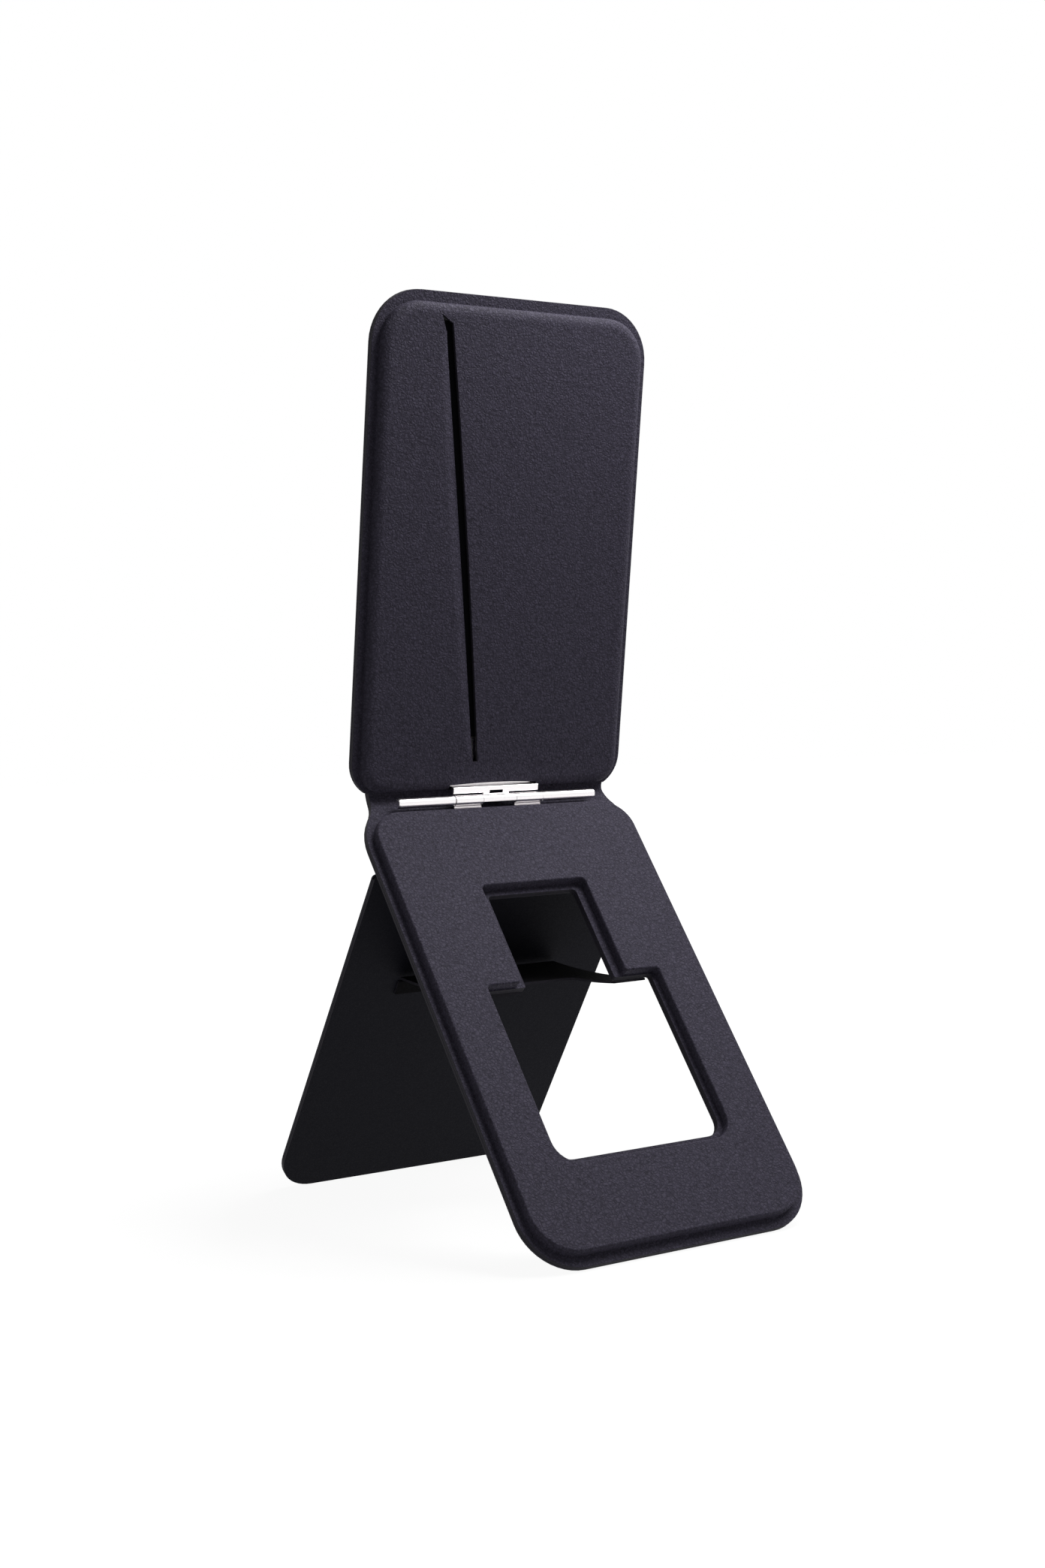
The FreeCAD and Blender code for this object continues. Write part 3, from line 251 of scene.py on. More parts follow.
def window_outline(name, height, ledges=(0, 0, 0, 0, 0), corners=WINDOW_CORNERS):
    """The T-shaped window as one flat face, grown by the ledges that are left round it.

    The ledges are at the neck, the sides, the top, the steps and the foot.  The corners
    are those at the top, where the neck meets the steps, beside the steps and at the foot.
    """
    neck, half = WINDOW_NECK + ledges[0], WINDOW_HALF + ledges[1]
    top, step, foot = WINDOW_TOP + ledges[2], WINDOW_STEP + ledges[3], WINDOW_FOOT - ledges[4]
    piece = plate(name, half, step, foot, height)
    for x in (-neck, neck):
        bpy.ops.mesh.select_all(action="SELECT")
        bpy.ops.mesh.bisect(plane_co=(x, 0, 0), plane_no=(1, 0, 0))
    choose("EDGE", lambda p: p.y > step - 1e-6 and abs(p.x) < neck + 1e-6)
    bpy.ops.mesh.extrude_edges_move(TRANSFORM_OT_translate={"value": (0, top - step, 0)})
    bpy.ops.mesh.select_all(action="SELECT")
    bpy.ops.mesh.dissolve_faces()
    bpy.ops.mesh.select_all(action="SELECT")
    bpy.ops.mesh.dissolve_limited(angle_limit=radians(1))
    at_top, in_step, beside_step, at_foot = corners
    round_off(at_foot, lambda p: p.y < foot + 1e-6, 8)
    round_off(at_top, lambda p: p.y > top - 1e-6, 6)
    round_off(beside_step, lambda p: abs(p.y - step) < 1e-6 and abs(p.x) > half - 1e-6, 6)
    round_off(in_step, lambda p: abs(p.y - step) < 1e-6 and abs(p.x) < neck + 1e-6, 5)
    return piece


def only_edges(piece):
    """Leaves a flat face's outline alone."""
    edit(piece)
    bpy.ops.mesh.select_mode(type="FACE")
    bpy.ops.mesh.select_all(action="SELECT")
    bpy.ops.mesh.delete(type="ONLY_FACE")


def join(piece, *others):
    """Takes other pieces into one, and opens it for editing."""
    bpy.ops.object.mode_set(mode="OBJECT")
    bpy.ops.object.select_all(action="DESELECT")
    for one in (piece, *others):
        one.select_set(True)
    bpy.context.view_layer.objects.active = piece
    bpy.ops.object.join()
    edit(piece)


def level(height):
    return lambda p: abs(p.z - height) < 1e-6


def fill_level(height):
    """Fills between the outlines that lie at one height."""
    choose("EDGE", level(height))
    bpy.ops.mesh.fill(use_beauty=True)
    bpy.ops.mesh.dissolve_limited(angle_limit=radians(1))


def settle(piece, where, *materials):
    """Closes editing, puts a flat piece in its panel's place and gives it its finishes."""
    if bpy.context.object.mode == "EDIT":
        bpy.ops.object.mode_set(mode="OBJECT")
    bpy.ops.object.select_all(action="DESELECT")
    piece.select_set(True)
    bpy.context.view_layer.objects.active = piece
    piece.matrix_world = where
    bpy.ops.object.transform_apply(location=True, rotation=True, scale=True)
    if not piece.data.materials:
        for material in materials:
            piece.data.materials.append(material)
    bpy.ops.object.shade_smooth_by_angle(angle=radians(40))
    even = piece.modifiers.new("even shading", "WEIGHTED_NORMAL")
    even.keep_sharp = True
    bpy.ops.object.modifier_apply(modifier=even.name)


def thicken(piece, thickness, offset, rim=1):
    """Gives a skin its thickness, with the cut edge in the finish after the face's."""
    bpy.ops.object.mode_set(mode="OBJECT")
    solid = piece.modifiers.new("thickness", "SOLIDIFY")
    solid.thickness, solid.offset = thickness, offset
    solid.material_offset_rim = rim
    bpy.context.view_layer.objects.active = piece
    bpy.ops.object.modifier_apply(modifier=solid.name)


def soften(piece, width, joint=None):
    """Rounds a thick skin's sharp edges a little, but not where it joins the next piece."""
    edit(piece)
    bpy.ops.mesh.select_mode(type="EDGE")
    bpy.ops.mesh.select_all(action="DESELECT")
    bpy.ops.mesh.edges_select_sharp(sharpness=radians(50))
    if joint is not None:
        shape = bmesh.from_edit_mesh(piece.data)
        for edge in shape.edges:
            if edge.select and all(abs(vert.co.y - joint) < 1e-6 for vert in edge.verts):
                edge.select_set(False)
        bmesh.update_edit_mesh(piece.data)
    bpy.ops.mesh.bevel(offset=width, segments=2, profile=0.5, affect="EDGES")
    bpy.ops.object.mode_set(mode="OBJECT")


def face_up():
    """Turns every face of an open skin towards its panel's front."""
    bpy.ops.mesh.select_all(action="SELECT")
    bpy.ops.mesh.normals_make_consistent(inside=False)
    shape = bmesh.from_edit_mesh(bpy.context.object.data)
    if sum(face.normal.z * face.calc_area() for face in shape.faces) < 0:
        bpy.ops.mesh.flip_normals()


def dress(piece, *materials):
    for material in materials:
        piece.data.materials.append(material)


frame_back = frame_outline("frame_back_leather", FRAME_FACE - SKIN)
only_edges(frame_back)
hole = window_outline("window", FRAME_FACE - SKIN)
only_edges(hole)
join(frame_back, hole)
fill_level(FRAME_FACE - SKIN)
face_up()
dress(frame_back, pebbled, cut_edge)
thicken(frame_back, SKIN, -1)
soften(frame_back, SKIN_EDGE, joint=-FRAME_NEAR)
settle(frame_back, ON_FRAME)
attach(frame_back, "stand_frame")
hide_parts("frame_back_skin")

# ---------------------------------------------------------- stand frame: board and foam
# A thin grey board stiffens the frame, with a layer of soft foam on it that fills the
# raised pad.  Both are die-cut round the window and are shut in between the two skins.


def flat_finish(name, colour, scale, roughness, spread=0.12, depth=0.02):
    """A plain matt stuff with a fine even texture."""
    material, place, surface = finish_named(name)
    fine = place.node("TexNoise", {"Vector": place, "Scale": scale, "Detail": 4.0})
    dark = tuple(part * (1 - spread) for part in colour)
    pale = tuple(part * (1 + spread) for part in colour)
    lead(fine.between(0.3, 0.7).mix(opaque(dark), opaque(pale)), surface, "Base Color")
    bump = fine.node("Bump", {"Strength": 0.5, "Distance": depth * MM, "Height": fine})
    lead(bump, surface, "Normal")
    surface.inputs["Roughness"].default_value = roughness
    surface.inputs["Specular IOR Level"].default_value = 0.1
    return material


grey_board = flat_finish("grey_board", (0.30, 0.28, 0.25), 900.0, 0.8)
foam = flat_finish("foam", (0.06, 0.06, 0.065), 2200.0, 0.9, spread=0.3, depth=0.08)


def cover(name, material):
    """Gives a hidden or hard sub-part its finish."""
    nodes[name].data.materials.clear()
    nodes[name].data.materials.append(material)


cover("frame_board", grey_board)
cover("frame_pad_core", foam)

# --------------------------------------------------------- stand frame: front leather
# The same pebbled leather, pressed over the foam into a raised pad with a narrow flat
# ledge round the window and a flange round the outside, and glued down along both.

PAD_HALF = 30.5 * MM
PAD_FAR = 96.4 * MM
PAD_FREE_CORNER, FRAME_PAD_CORNER = 8.6 * MM, 6.5 * MM
FRAME_PAD_NEAR = 1.7 * MM
FRAME_RISE = 2.0 * MM
FRAME_ROLL = (0.4 * MM, 0.4 * MM)
WINDOW_ROLL = (0.35 * MM, 0.4 * MM)
WINDOW_LEDGES = (1.75 * MM, 0.95 * MM, 1.4 * MM, 0.3 * MM, 1.4 * MM)
CREST_CORNERS = (1.2 * MM, 0.3 * MM, 1.0 * MM, 5.0 * MM)


def roll(width, height, down=False, steps=6):
    """Insets the selected face step by step along a quarter round, up or down."""
    turns = [pi / 2 * i / steps for i in range(steps + 1)]
    if down:
        turns.reverse()
    for start, end in zip(turns, turns[1:]):
        bpy.ops.mesh.inset(thickness=width * abs(cos(start) - cos(end)),
                           depth=height * (sin(end) - sin(start)), use_even_offset=True)


def raise_pad(floor, rise, width, height):
    """Raises the open flat face into an upright wall with a rolled crest, and opens its top."""
    bpy.ops.mesh.select_all(action="SELECT")
    bpy.ops.mesh.extrude_region_move(TRANSFORM_OT_translate={"value": (0, 0, rise - height)})
    roll(width, height)
    bpy.ops.mesh.delete(type="ONLY_FACE")
    choose("FACE", level(floor))
    bpy.ops.mesh.delete(type="ONLY_FACE")


front = frame_outline("frame_front_leather", FRAME_FACE)
only_edges(front)
pad = plate("pad", PAD_HALF, -FRAME_PAD_NEAR, -PAD_FAR, FRAME_FACE)
round_off(PAD_FREE_CORNER, lambda p: p.y < -REACH / 2)
round_off(FRAME_PAD_CORNER, lambda p: p.y > -REACH / 2)
raise_pad(FRAME_FACE, FRAME_RISE, *FRAME_ROLL)
join(front, pad)
fill_level(FRAME_FACE)
ledge = window_outline("ledge", FRAME_FACE + FRAME_RISE,
                       [width + WINDOW_ROLL[0] for width in WINDOW_LEDGES], CREST_CORNERS)
bpy.ops.mesh.select_all(action="SELECT")
roll(*WINDOW_ROLL, down=True)
bpy.ops.mesh.extrude_region_move(
    TRANSFORM_OT_translate={"value": (0, 0, WINDOW_ROLL[1] - FRAME_RISE)})
bpy.ops.mesh.delete(type="ONLY_FACE")
hole = window_outline("window", FRAME_FACE)
only_edges(hole)
join(ledge, hole)
fill_level(FRAME_FACE)
join(front, ledge)
fill_level(FRAME_FACE + FRAME_RISE)
face_up()
dress(front, pebbled, cut_edge)
thicken(front, SKIN, -1)
soften(front, SKIN_EDGE, joint=-FRAME_NEAR)
settle(front, ON_FRAME)
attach(front, "stand_frame")
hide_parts("frame_front_skin")

# ------------------------------------------------------------------------- steel hinge
# Bright satin stainless steel.  Two leaves are riveted inside the panels and rolled into
# knuckles round one hard pin, and a polished sleeve is pressed on each end of the pin.

STEEL = (0.90, 0.87, 0.88)


def steel(name, colour, roughness=0.24):
    """Satin steel, brushed along the pin."""
    material, place, surface = finish_named(name)
    drawn = place.node("VectorMath", {0: place, 1: (260.0, 6000.0, 6000.0)}, operation="MULTIPLY")
    brushed = drawn.node("TexNoise", {"Vector": drawn, "Scale": 1.0, "Detail": 3.0})
    lead(roughness + 0.12 * (brushed - 0.5), surface, "Roughness")
    bump = brushed.node("Bump", {"Strength": 0.08, "Distance": 0.01 * MM, "Height": brushed})
    lead(bump, surface, "Normal")
    surface.inputs["Base Color"].default_value = opaque(colour)
    surface.inputs["Metallic"].default_value = 1.0
    return material


satin_steel = steel("satin_steel", STEEL)
plated = steel("plated_magnet", (0.55, 0.55, 0.56), 0.3)
for name in ("lower_hinge_leaf", "lower_leaf_rivets", "hinge_pin", "hinge_bar_left",
             "hinge_bar_right", "upper_hinge_leaf", "upper_leaf_rivets"):
    cover(name, satin_steel)
cover("leg_catch_magnets", plated)

# --------------------------------------------------------------------------- neck
# The leather that joins the two panels behind the hinge: both skins glued together, flat
# out of the frame and bent into the wallet, and drawn in at the sides to a waist.

ON_WALLET = Matrix.Translation(PIN) @ Matrix.Rotation(radians(99.8), 4, "X")
WALLET_FACE = -3.5 * MM
WALLET_NEAR = 1.6 * MM
BEND_START = 1.6707 * MM
BEND_RADIUS = 3.41 * MM
FOLD = radians(46.3)
NECK_MIDDLE = FRAME_FACE - SKIN
WAIST = Vector((33.89, 2.47)) * MM
WAIST_RADIUS = 6.015 * MM
BEND_STEPS = 9

neck = plate("neck_leather", HALF_WIDTH, -FRAME_NEAR, -FRAME_NEAR / 2, NECK_MIDDLE)
far_edge = -FRAME_NEAR / 2
for reach in (0.25, 1.0, BEND_START / MM):
    choose("EDGE", lambda p: p.y > far_edge - 1e-6)
    bpy.ops.mesh.extrude_edges_move(
        TRANSFORM_OT_translate={"value": (0, reach * MM - far_edge, 0)})
    far_edge = reach * MM
bpy.ops.mesh.spin(steps=BEND_STEPS, angle=-FOLD, axis=(1, 0, 0),
                  center=(0, BEND_START, NECK_MIDDLE + BEND_RADIUS))
rows = {round(vert.co.y, 7) for vert in bmesh.from_edit_mesh(neck.data).verts}
for row in rows:
    half = WAIST.x - (WAIST_RADIUS ** 2 - (row - WAIST.y) ** 2) ** 0.5
    choose("VERT", lambda p: abs(p.y - row) < 1e-6)
    bpy.ops.transform.resize(value=(half / HALF_WIDTH, 1, 1), center_override=(0, 0, 0))
face_up()
dress(neck, pebbled, cut_edge)
thicken(neck, 2 * SKIN, 0)
settle(neck, ON_FRAME)
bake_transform(neck)
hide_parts("neck_skin")

# -------------------------------------------------------- wallet: phone-side leather
# A flat piece of the pebbled leather that the phone rests against, glued round its edge
# to the pocket's leather.


def wallet_outline(name, height):
    """The wallet's flat outline, with small shoulders that run in to the neck."""
    shoulder, shoulder_reach, corner = 7.0 * MM, 7.6 * MM, 10.5 * MM
    piece = plate(name, HALF_WIDTH, shoulder_reach - shoulder, REACH, height)
    round_off(corner, lambda p: p.y > REACH / 2)
    round_off(shoulder, lambda p: p.y < 1 * MM)
    trim(WALLET_NEAR, keep_far=True)
    return piece


phone_side = wallet_outline("phone_side_leather", WALLET_FACE - SKIN)
face_up()
dress(phone_side, pebbled, cut_edge)
thicken(phone_side, SKIN, -1)
soften(phone_side, SKIN_EDGE, joint=WALLET_NEAR)
settle(phone_side, ON_WALLET)
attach(phone_side, "wallet")
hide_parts("phone_side_skin")

# ------------------------------------------------------- wallet: magnets and pocket
# A board holds the magnet ring and its steel shield behind the cards.  A thin cloth
# lines the pocket, and a foam frame gives it depth.

cover("magnet_carrier", grey_board)
cover("ring_magnets", plated)
cover("alignment_magnet", plated)
cover("shield_ring", satin_steel)
cover("pocket_spacer", foam)
liner_cloth = flat_finish("liner_cloth", (0.002, 0.002, 0.003), 3000.0, 0.95)
cover("pocket_liner", liner_cloth)

# ------------------------------------------------------------ wallet: pocket leather
# Pebbled leather pressed over the pocket's foam.  The card mouth is one long bowed cut,
# whose left lip has sunk under its right one, and an arched lip lets the hinge leaf in.

WALLET_PAD_NEAR = 1.8 * MM
WALLET_PAD_CORNER = 5.0 * MM
WALLET_RISE = 1.8 * MM
WALLET_ROLL = (2.2 * MM, 1.2 * MM)
SLIT_LOW = Vector((-4.85, 7.4)) * MM
SLIT_HIGH = Vector((-16.0, 92.4)) * MM
SLIT_HALF_LOW, SLIT_HALF_HIGH = 0.55 * MM, 0.75 * MM
SLIT_BOW = 0.5 * MM
SLIT_COLUMNS, SLIT_ROWS = 5, 30
LEFT_LIP, RIGHT_LIP = 3, 4
SLIT_MARGIN, SLIT_TOP_MARGIN = 0.9 * MM, 0.5 * MM
SLIT_INSIDE, SLIT_LIPS = 0.2 * MM, 0.8 * MM
LIP_SINK = 0.8 * MM
SINK_REACH = 3.0 * MM
SINK_SHARES = (0.0, 0.18, 0.55, 1.0)
SLIT_TAIL = Vector((-17.9, 94.3)) * MM
TAIL_BELOW, TAIL_ABOVE = 1.2 * MM, 0.3 * MM
ARCH_HALF, ARCH_NEAR = 10.3 * MM, 0.9 * MM
ARCH_SIDE, ARCH_RISE = 2.75 * MM, 0.3 * MM
ARCH_CUTS = 15
CUT_DEPTH = 0.75 * MM


def slit_middle(along):
    """Where the bowed slit runs across the pad, 0 at its lower end and 1 at its upper."""
    return SLIT_LOW.x + along * (SLIT_HIGH.x - SLIT_LOW.x) + SLIT_BOW * 4 * along * (1 - along)


def slit_share(y):
    return (y - SLIT_LOW.y) / (SLIT_HIGH.y - SLIT_LOW.y)


def cut_away(piece, cutter):
    """Takes the open cutter out of a thick skin, and leaves bare cut edges."""
    bpy.ops.mesh.select_all(action="SELECT")
    bpy.ops.mesh.normals_make_consistent(inside=False)
    # The cutter's walls take the cut-edge colour, which carries painted shade for the card slit.
    dress(cutter, cut_edge)
    bpy.ops.object.mode_set(mode="OBJECT")
    opening = piece.modifiers.new("opening", "BOOLEAN")
    opening.object, opening.operation, opening.solver = cutter, "DIFFERENCE", "EXACT"
    opening.material_mode = "TRANSFER"
    bpy.context.view_layer.objects.active = piece
    bpy.ops.object.modifier_apply(modifier=opening.name)
    bpy.data.objects.remove(cutter)


pocket = wallet_outline("pocket_leather", WALLET_FACE)
only_edges(pocket)
pad = plate("pad", PAD_HALF, WALLET_PAD_NEAR, PAD_FAR, WALLET_FACE)
round_off(PAD_FREE_CORNER, lambda p: p.y > REACH / 2)
round_off(WALLET_PAD_CORNER, lambda p: p.y < REACH / 2)
raise_pad(WALLET_FACE, WALLET_RISE, *WALLET_ROLL)
join(pocket, pad)
fill_level(WALLET_FACE)

slit_bottom, slit_top = SLIT_LOW.y - SLIT_MARGIN, SLIT_HIGH.y + SLIT_TOP_MARGIN
bpy.ops.object.mode_set(mode="OBJECT")
bpy.ops.object.select_all(action="DESELECT")
bpy.ops.mesh.primitive_grid_add(x_subdivisions=SLIT_COLUMNS, y_subdivisions=SLIT_ROWS, size=1,
                                location=(0, 0, WALLET_FACE + WALLET_RISE))
slit = bpy.context.object
slit.name = slit.data.name = "slit"
bpy.ops.object.transform_apply(location=True, rotation=True, scale=True)
edit(slit)
for vert in bmesh.from_edit_mesh(slit.data).verts:
    column = round((vert.co.x + 0.5) * SLIT_COLUMNS)
    row = round((vert.co.y + 0.5) * SLIT_ROWS)
    along = min(max((row - 1) / (SLIT_ROWS - 2), 0), 1)
    sunk = sin(pi * along) ** 0.5
    half = SLIT_HALF_LOW + along * (SLIT_HALF_HIGH - SLIT_HALF_LOW)
    spread = SLIT_MARGIN + sunk * (SINK_REACH - SLIT_MARGIN)
    if column <= LEFT_LIP:
        vert.co.x = slit_middle(along) - half - spread * (LEFT_LIP - column) / LEFT_LIP
        vert.co.z -= LIP_SINK * sunk * SINK_SHARES[column]
    else:
        vert.co.x = slit_middle(along) + half + SLIT_MARGIN * (column - RIGHT_LIP)
    vert.co.y = {0: slit_bottom, SLIT_ROWS: slit_top}.get(
        row, SLIT_LOW.y + along * (SLIT_HIGH.y - SLIT_LOW.y))
slit_shape = bmesh.from_edit_mesh(slit.data)
for face in slit_shape.faces:
    middle = face.calc_center_median()
    along = slit_share(middle.y)
    face.select = 0 < along < 1 and abs(middle.x - slit_middle(along)) < SLIT_INSIDE
bmesh.update_edit_mesh(slit.data)
bpy.ops.mesh.select_mode(type="FACE")
bpy.ops.mesh.delete(type="FACE")
join(pocket, slit)
choose("EDGE", level(WALLET_FACE + WALLET_RISE))
shape = bmesh.from_edit_mesh(pocket.data)
for edge in shape.edges:
    middle = (edge.verts[0].co + edge.verts[1].co) / 2
    along = slit_share(middle.y)
    lip = -0.001 < along < 1.001 and abs(middle.x - slit_middle(along)) < SLIT_LIPS
    if edge.select and (lip or not edge.is_boundary):
        edge.select = False
bmesh.update_edit_mesh(pocket.data)
bpy.ops.mesh.fill(use_beauty=True)
bpy.ops.mesh.dissolve_limited(angle_limit=radians(1))
face_up()
dress(pocket, pebbled, cut_edge)
thicken(pocket, SKIN, -1)
soften(pocket, SKIN_EDGE, joint=WALLET_NEAR)

arch = plate("arch_cutter", ARCH_HALF, ARCH_NEAR, ARCH_SIDE, WALLET_FACE - SKIN - 0.1 * MM)
choose("EDGE", lambda p: p.y > ARCH_SIDE - 1e-6)
bpy.ops.mesh.subdivide(number_cuts=ARCH_CUTS)
for cut in range(1, ARCH_CUTS + 1):
    x = ARCH_HALF * (2 * cut / (ARCH_CUTS + 1) - 1)
    choose("VERT", lambda p: p.y > ARCH_SIDE - 1e-6 and abs(p.x - x) < 1e-6)
    move(y=ARCH_RISE * (1 - (x / ARCH_HALF) ** 2))
bpy.ops.mesh.select_all(action="SELECT")
bpy.ops.mesh.extrude_region_move(TRANSFORM_OT_translate={"value": (0, 0, 5 * MM)})
tail = plate("tail_cutter", 1.0 * MM, 0, 2 * MM, WALLET_FACE + WALLET_RISE - CUT_DEPTH)
right, left = SLIT_HIGH.x + SLIT_HALF_HIGH, SLIT_HIGH.x - SLIT_HALF_HIGH
low, high = SLIT_HIGH.y - TAIL_BELOW, SLIT_HIGH.y + TAIL_ABOVE
for old, new in (((-1, 0), (left, low)), ((1, 0), (right, low)),
                 ((1, 2), (right, high)), ((-1, 2), SLIT_TAIL)):
    choose("VERT", lambda p: abs(p.x - old[0] * MM) < 1e-6 and abs(p.y - old[1] * MM) < 1e-6)
    move(x=new[0] - old[0] * MM, y=new[1] - old[1] * MM)
bpy.ops.mesh.select_all(action="SELECT")
bpy.ops.mesh.extrude_region_move(TRANSFORM_OT_translate={"value": (0, 0, 2 * MM)})
join(arch, tail)
cut_away(pocket, arch)
settle(pocket, ON_WALLET)
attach(pocket, "wallet")
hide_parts("pocket_front_skin")

# -------------------------------------------------------------- support leg: outer leather
# Smooth thin leather on the leg's outer face.  It should run on above the leg as a bare
# crease, the leg's only hinge, to a tab glued to the frame's back.  The spin below turns
# the wrong way: the crease curls in over the leg's edge, and the tab isn't made.

CREASE = Vector((0, 1.1665, 68.2876)) * MM
ON_LEG = Matrix.Translation(CREASE) @ Matrix.Rotation(radians(125.25), 4, "X")
LEG_HALF = 31.7 * MM
LEG_REACH = 83.62 * MM
LEG_GAP = 1.0 * MM
LEG_SKIN, LEG_SKIN_EDGE = 0.45 * MM, 0.08 * MM
LEG_BOARD = 0.4 * MM
LEG_CREASE = 13.65 * MM
CREASE_RADIUS, CREASE_RUN = 1.5455 * MM, 2.1755 * MM
CREASE_STEPS = 10
SPREAD = radians(71.75)
TAB_HALF = 29.0 * MM
TAB_NEAR, TAB_CORNER = 3.2 * MM, 2.5 * MM
# The leg's leather colour is far darker than the panels': partly its own darker leather, partly
# painted shade for the frame's shade it lies in.
LEG_LEATHER_AND_SHADE = (0.0072, 0.0072, 0.0112)
smooth = leather("smooth_leather", LEG_LEATHER_AND_SHADE, pebble=0.5, depth=0.02, roughness=0.6, grain_contrast=0.1,
                 shine=0.08)


def leg_outline(name, height):
    """The leg's flat outline, well rounded at the foot and hardly at the crease."""
    foot_corner, top_corner = 8.5 * MM, 0.8 * MM
    piece = plate(name, LEG_HALF, -LEG_GAP, -LEG_REACH, height)
    round_off(foot_corner, lambda p: p.y < -LEG_REACH / 2)
    round_off(top_corner, lambda p: p.y > -LEG_GAP - 1e-6, 6)
    return piece


outer_middle = -1.5 * LEG_SKIN - LEG_BOARD
outer = leg_outline("leg_outer_leather", outer_middle)
for x in (-TAB_HALF, TAB_HALF):
    bpy.ops.mesh.select_all(action="SELECT")
    bpy.ops.mesh.bisect(plane_co=(x, 0, 0), plane_no=(1, 0, 0))
choose("EDGE", lambda p: p.y > -LEG_GAP - 1e-6 and abs(p.x) < TAB_HALF + 1e-6)
bpy.ops.mesh.spin(steps=CREASE_STEPS, angle=SPREAD, axis=(1, 0, 0),
                  center=(0, -LEG_GAP, outer_middle + CREASE_RADIUS))
tab_start = Vector((0, -LEG_GAP + CREASE_RADIUS * sin(SPREAD),
                    outer_middle + CREASE_RADIUS * (1 - cos(SPREAD))))
along_tab = Vector((0, cos(SPREAD), sin(SPREAD)))
tab_length = LEG_CREASE - CREASE_RUN - TAB_NEAR
choose("EDGE", lambda p: (p - tab_start).dot(along_tab) > -1e-6)
bpy.ops.mesh.extrude_edges_move(TRANSFORM_OT_translate={"value": along_tab * tab_length})
round_off(TAB_CORNER, lambda p: (p - tab_start).dot(along_tab) > tab_length - 1e-6, 6)
face_up()
dress(outer, smooth, cut_edge)
thicken(outer, LEG_SKIN, 0)
soften(outer, LEG_SKIN_EDGE)
settle(outer, ON_LEG)
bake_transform(outer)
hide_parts("leg_outer_skin", "leg_crease_skin", "leg_hinge_tab")

# ----------------------------------------------------- support leg: board, rim and inner
# A stiff board stops short of the edge, where a filler strip lets the two skins close.
# The inner skin is the same smooth leather as the outer one, glued over board and strip.

RIM_WIDTH = 2.9 * MM

cover("leg_board", grey_board)
cover("leg_catch_plates", plated)

rim = leg_outline("leg_rim_strip", -LEG_SKIN)
bpy.ops.mesh.select_all(action="SELECT")
bpy.ops.mesh.inset(thickness=RIM_WIDTH, use_even_offset=True)
bpy.ops.mesh.delete(type="FACE")
face_up()
dress(rim, smooth, cut_edge)
thicken(rim, LEG_BOARD, -1)
settle(rim, ON_LEG)
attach(rim, "support_leg")
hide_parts("leg_rim")

inner = leg_outline("leg_inner_leather", 0.0)
face_up()
dress(inner, smooth, cut_edge)
thicken(inner, LEG_SKIN, -1)
soften(inner, LEG_SKIN_EDGE)
settle(inner, ON_LEG)
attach(inner, "support_leg")
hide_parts("leg_inner_skin")

# ------------------------------------------------------------------------- brace web
# A thin smooth sheet that stops the feet sliding apart.  It hangs from behind the two
# steps of the frame's window, with a notch between them, and its end is turned down and
# glued to the leg's inner face.

WEB_FRONT = PIN + Vector((0, -22.4664, -36.2458)) * MM
ON_WEB = Matrix.Translation(WEB_FRONT) @ Matrix.Rotation(radians(1.997), 4, "X")
WEB_HALF = 18.6 * MM
WEB_CHORD, WEB_GAP = 32.2 * MM, 0.06 * MM
WEB_SKIN = 0.5 * MM
WEB_SAG = 0.8 * MM
WEB_ROWS = 18
WEB_NECK_HALF = 11.1 * MM
WEB_NOTCH, WEB_NOTCH_CORNER = 14.2 * MM, 1.5 * MM
WEB_TAB_NEAR, WEB_TAB_FAR = 28.0 * MM, 31.3 * MM
WEB_TAB_EDGE = 0.1 * MM

# The web's near-black colour is partly the sheet's own black and partly painted shade, for the
# shadow it lies in under the frame.
web_black_and_shade = leather("web_leather", (0.0035, 0.0033, 0.0040), pebble=0.5, depth=0.02,
                    roughness=0.7, grain_contrast=0.1, shine=0.04)
web = plate("brace_web_leather", WEB_HALF, WEB_GAP, WEB_GAP + WEB_CHORD / WEB_ROWS)
choose("VERT", lambda p: p.y > 1 * MM)
sag_at = [-4 * WEB_SAG * i / WEB_ROWS * (1 - i / WEB_ROWS) for i in range(WEB_ROWS + 1)]
move(z=sag_at[1])
for before, after in zip(sag_at[1:], sag_at[2:]):
    bpy.ops.mesh.select_mode(type="EDGE")
    far = max(vert.co.y for vert in bmesh.from_edit_mesh(web.data).verts)
    choose("EDGE", lambda p: p.y > far - 1e-6)
    bpy.ops.mesh.extrude_edges_move(
        TRANSFORM_OT_translate={"value": (0, WEB_CHORD / WEB_ROWS, after - before)})
face_up()
dress(web, web_black_and_shade, cut_edge)
thicken(web, WEB_SKIN, -1)
notch = plate("notch_cutter", WEB_NECK_HALF, -1 * MM, WEB_NOTCH, -3 * MM)
round_off(WEB_NOTCH_CORNER, lambda p: p.y > 0, 6)
bpy.ops.mesh.select_all(action="SELECT")
bpy.ops.mesh.extrude_region_move(TRANSFORM_OT_translate={"value": (0, 0, 6 * MM)})
cut_away(web, notch)
settle(web, ON_WEB)
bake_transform(web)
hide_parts("brace_web")

web_tab = plate("web_tab_leather", WEB_HALF, -WEB_TAB_NEAR, -WEB_TAB_FAR, WEB_SKIN)
face_up()
dress(web_tab, web_black_and_shade, cut_edge)
thicken(web_tab, WEB_SKIN, -1)
soften(web_tab, WEB_TAB_EDGE)
settle(web_tab, ON_LEG)
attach(web_tab, "support_leg")
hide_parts("web_glue_tab")

# ------------------------------------------------------------- floor, light and camera
# The stand is on a plain white sweep, under one broad soft lamp above and to the right,
# with a small one close over the wallet.

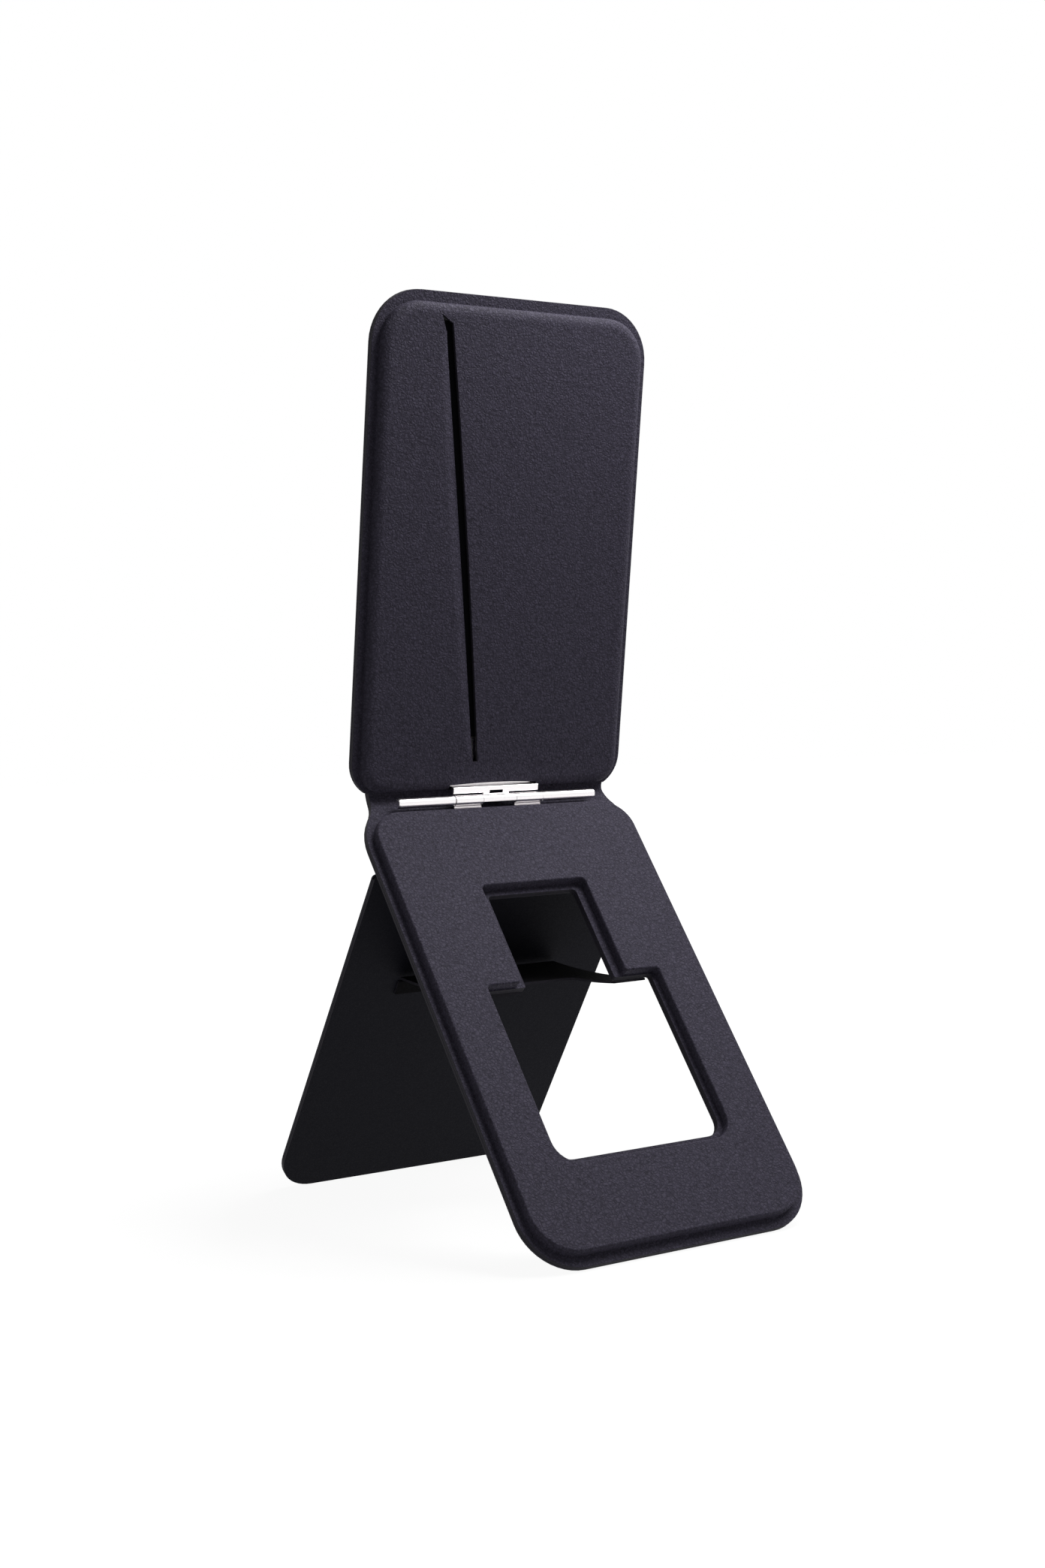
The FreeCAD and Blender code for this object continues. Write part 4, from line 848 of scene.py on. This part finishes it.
bpy.ops.object.select_all(action="DESELECT")
if bpy.context.object and bpy.context.object.mode == "EDIT":
    bpy.ops.object.mode_set(mode="OBJECT")
bpy.ops.mesh.primitive_circle_add(vertices=96, radius=6.0, fill_type="NGON", location=(0, 0, 0))
floor = bpy.context.object
floor.name = "floor"


def in_sight(tree):
    """1 where a ray sees a surface itself, straight, in a mirror or through glass."""
    path = tree.nodes.new("ShaderNodeLightPath")
    seen = Wire(path.outputs["Is Camera Ray"])
    seen = seen.sum("MAXIMUM", seen, Wire(path.outputs["Is Glossy Ray"]))
    return seen.sum("MAXIMUM", seen, Wire(path.outputs["Is Transmission Ray"]))


material = bpy.data.materials.new("white_floor")
material.use_nodes = True
tree = material.node_tree
tree.nodes.clear()
place = Wire(tree.nodes.new("ShaderNodeTexCoord").outputs["Object"])
away = place.node("VectorMath", {0: place}, out=1, operation="LENGTH")
clear = away.between(0.06, 0.16)
matt = tree.nodes.new("ShaderNodeBsdfDiffuse")
matt.inputs["Color"].default_value = (0.5, 0.5, 0.5, 1)
white = tree.nodes.new("ShaderNodeEmission")
white.inputs["Color"].default_value = (1, 1, 1, 1)
white.inputs["Strength"].default_value = 1.1
share = in_sight(tree) * (0.85 + 0.15 * clear)
blend = tree.nodes.new("ShaderNodeMixShader")
tree.links.new(share.socket, blend.inputs[0])
tree.links.new(matt.outputs[0], blend.inputs[1])
tree.links.new(white.outputs[0], blend.inputs[2])
output = tree.nodes.new("ShaderNodeOutputMaterial")
tree.links.new(blend.outputs[0], output.inputs[0])
floor.data.materials.append(material)

world = bpy.data.worlds.new("studio")
bpy.context.scene.world = world
world.use_nodes = True
tree = world.node_tree
background = tree.nodes["Background"]
strength = 0.15 + 0.85 * in_sight(tree)
tree.links.new(strength.socket, background.inputs["Strength"])
background.inputs["Color"].default_value = (1, 1, 1, 1)


def soft_lamp(name, place, aim, size, energy):
    """A round soft lamp that shines from one place towards another."""
    bpy.ops.object.light_add(type="AREA", location=place)
    lamp = bpy.context.object
    lamp.name = name
    lamp.data.shape = "DISK"
    lamp.data.size, lamp.data.energy = size, energy
    lamp.rotation_euler = (Vector(aim) - lamp.location).to_track_quat("-Z", "Y").to_euler()
    return lamp


overhead = soft_lamp("overhead_lamp", (0.26, -0.13, 0.50), (0, -0.01, 0.05), 0.34, 2.35)
key = soft_lamp("key_lamp", (0.05, -0.065, 0.265), (0, 0, 0.16), 0.08, 0.22)

bpy.ops.object.camera_add(location=(-0.2311, -0.35194, 0.09322))
camera = bpy.context.object
around, down, bank = radians(33.49), radians(1.23), radians(-2.06)
camera.rotation_euler = (Matrix.Rotation(-around, 4, "Z")
                         @ Matrix.Rotation(pi / 2 - down, 4, "X")
                         @ Matrix.Rotation(bank, 4, "Z")).to_euler()
camera.data.sensor_fit = "VERTICAL"
camera.data.sensor_height = 36.0
camera.data.lens = 48.59
bpy.context.scene.camera = camera
bpy.context.scene.view_settings.view_transform = "Standard"
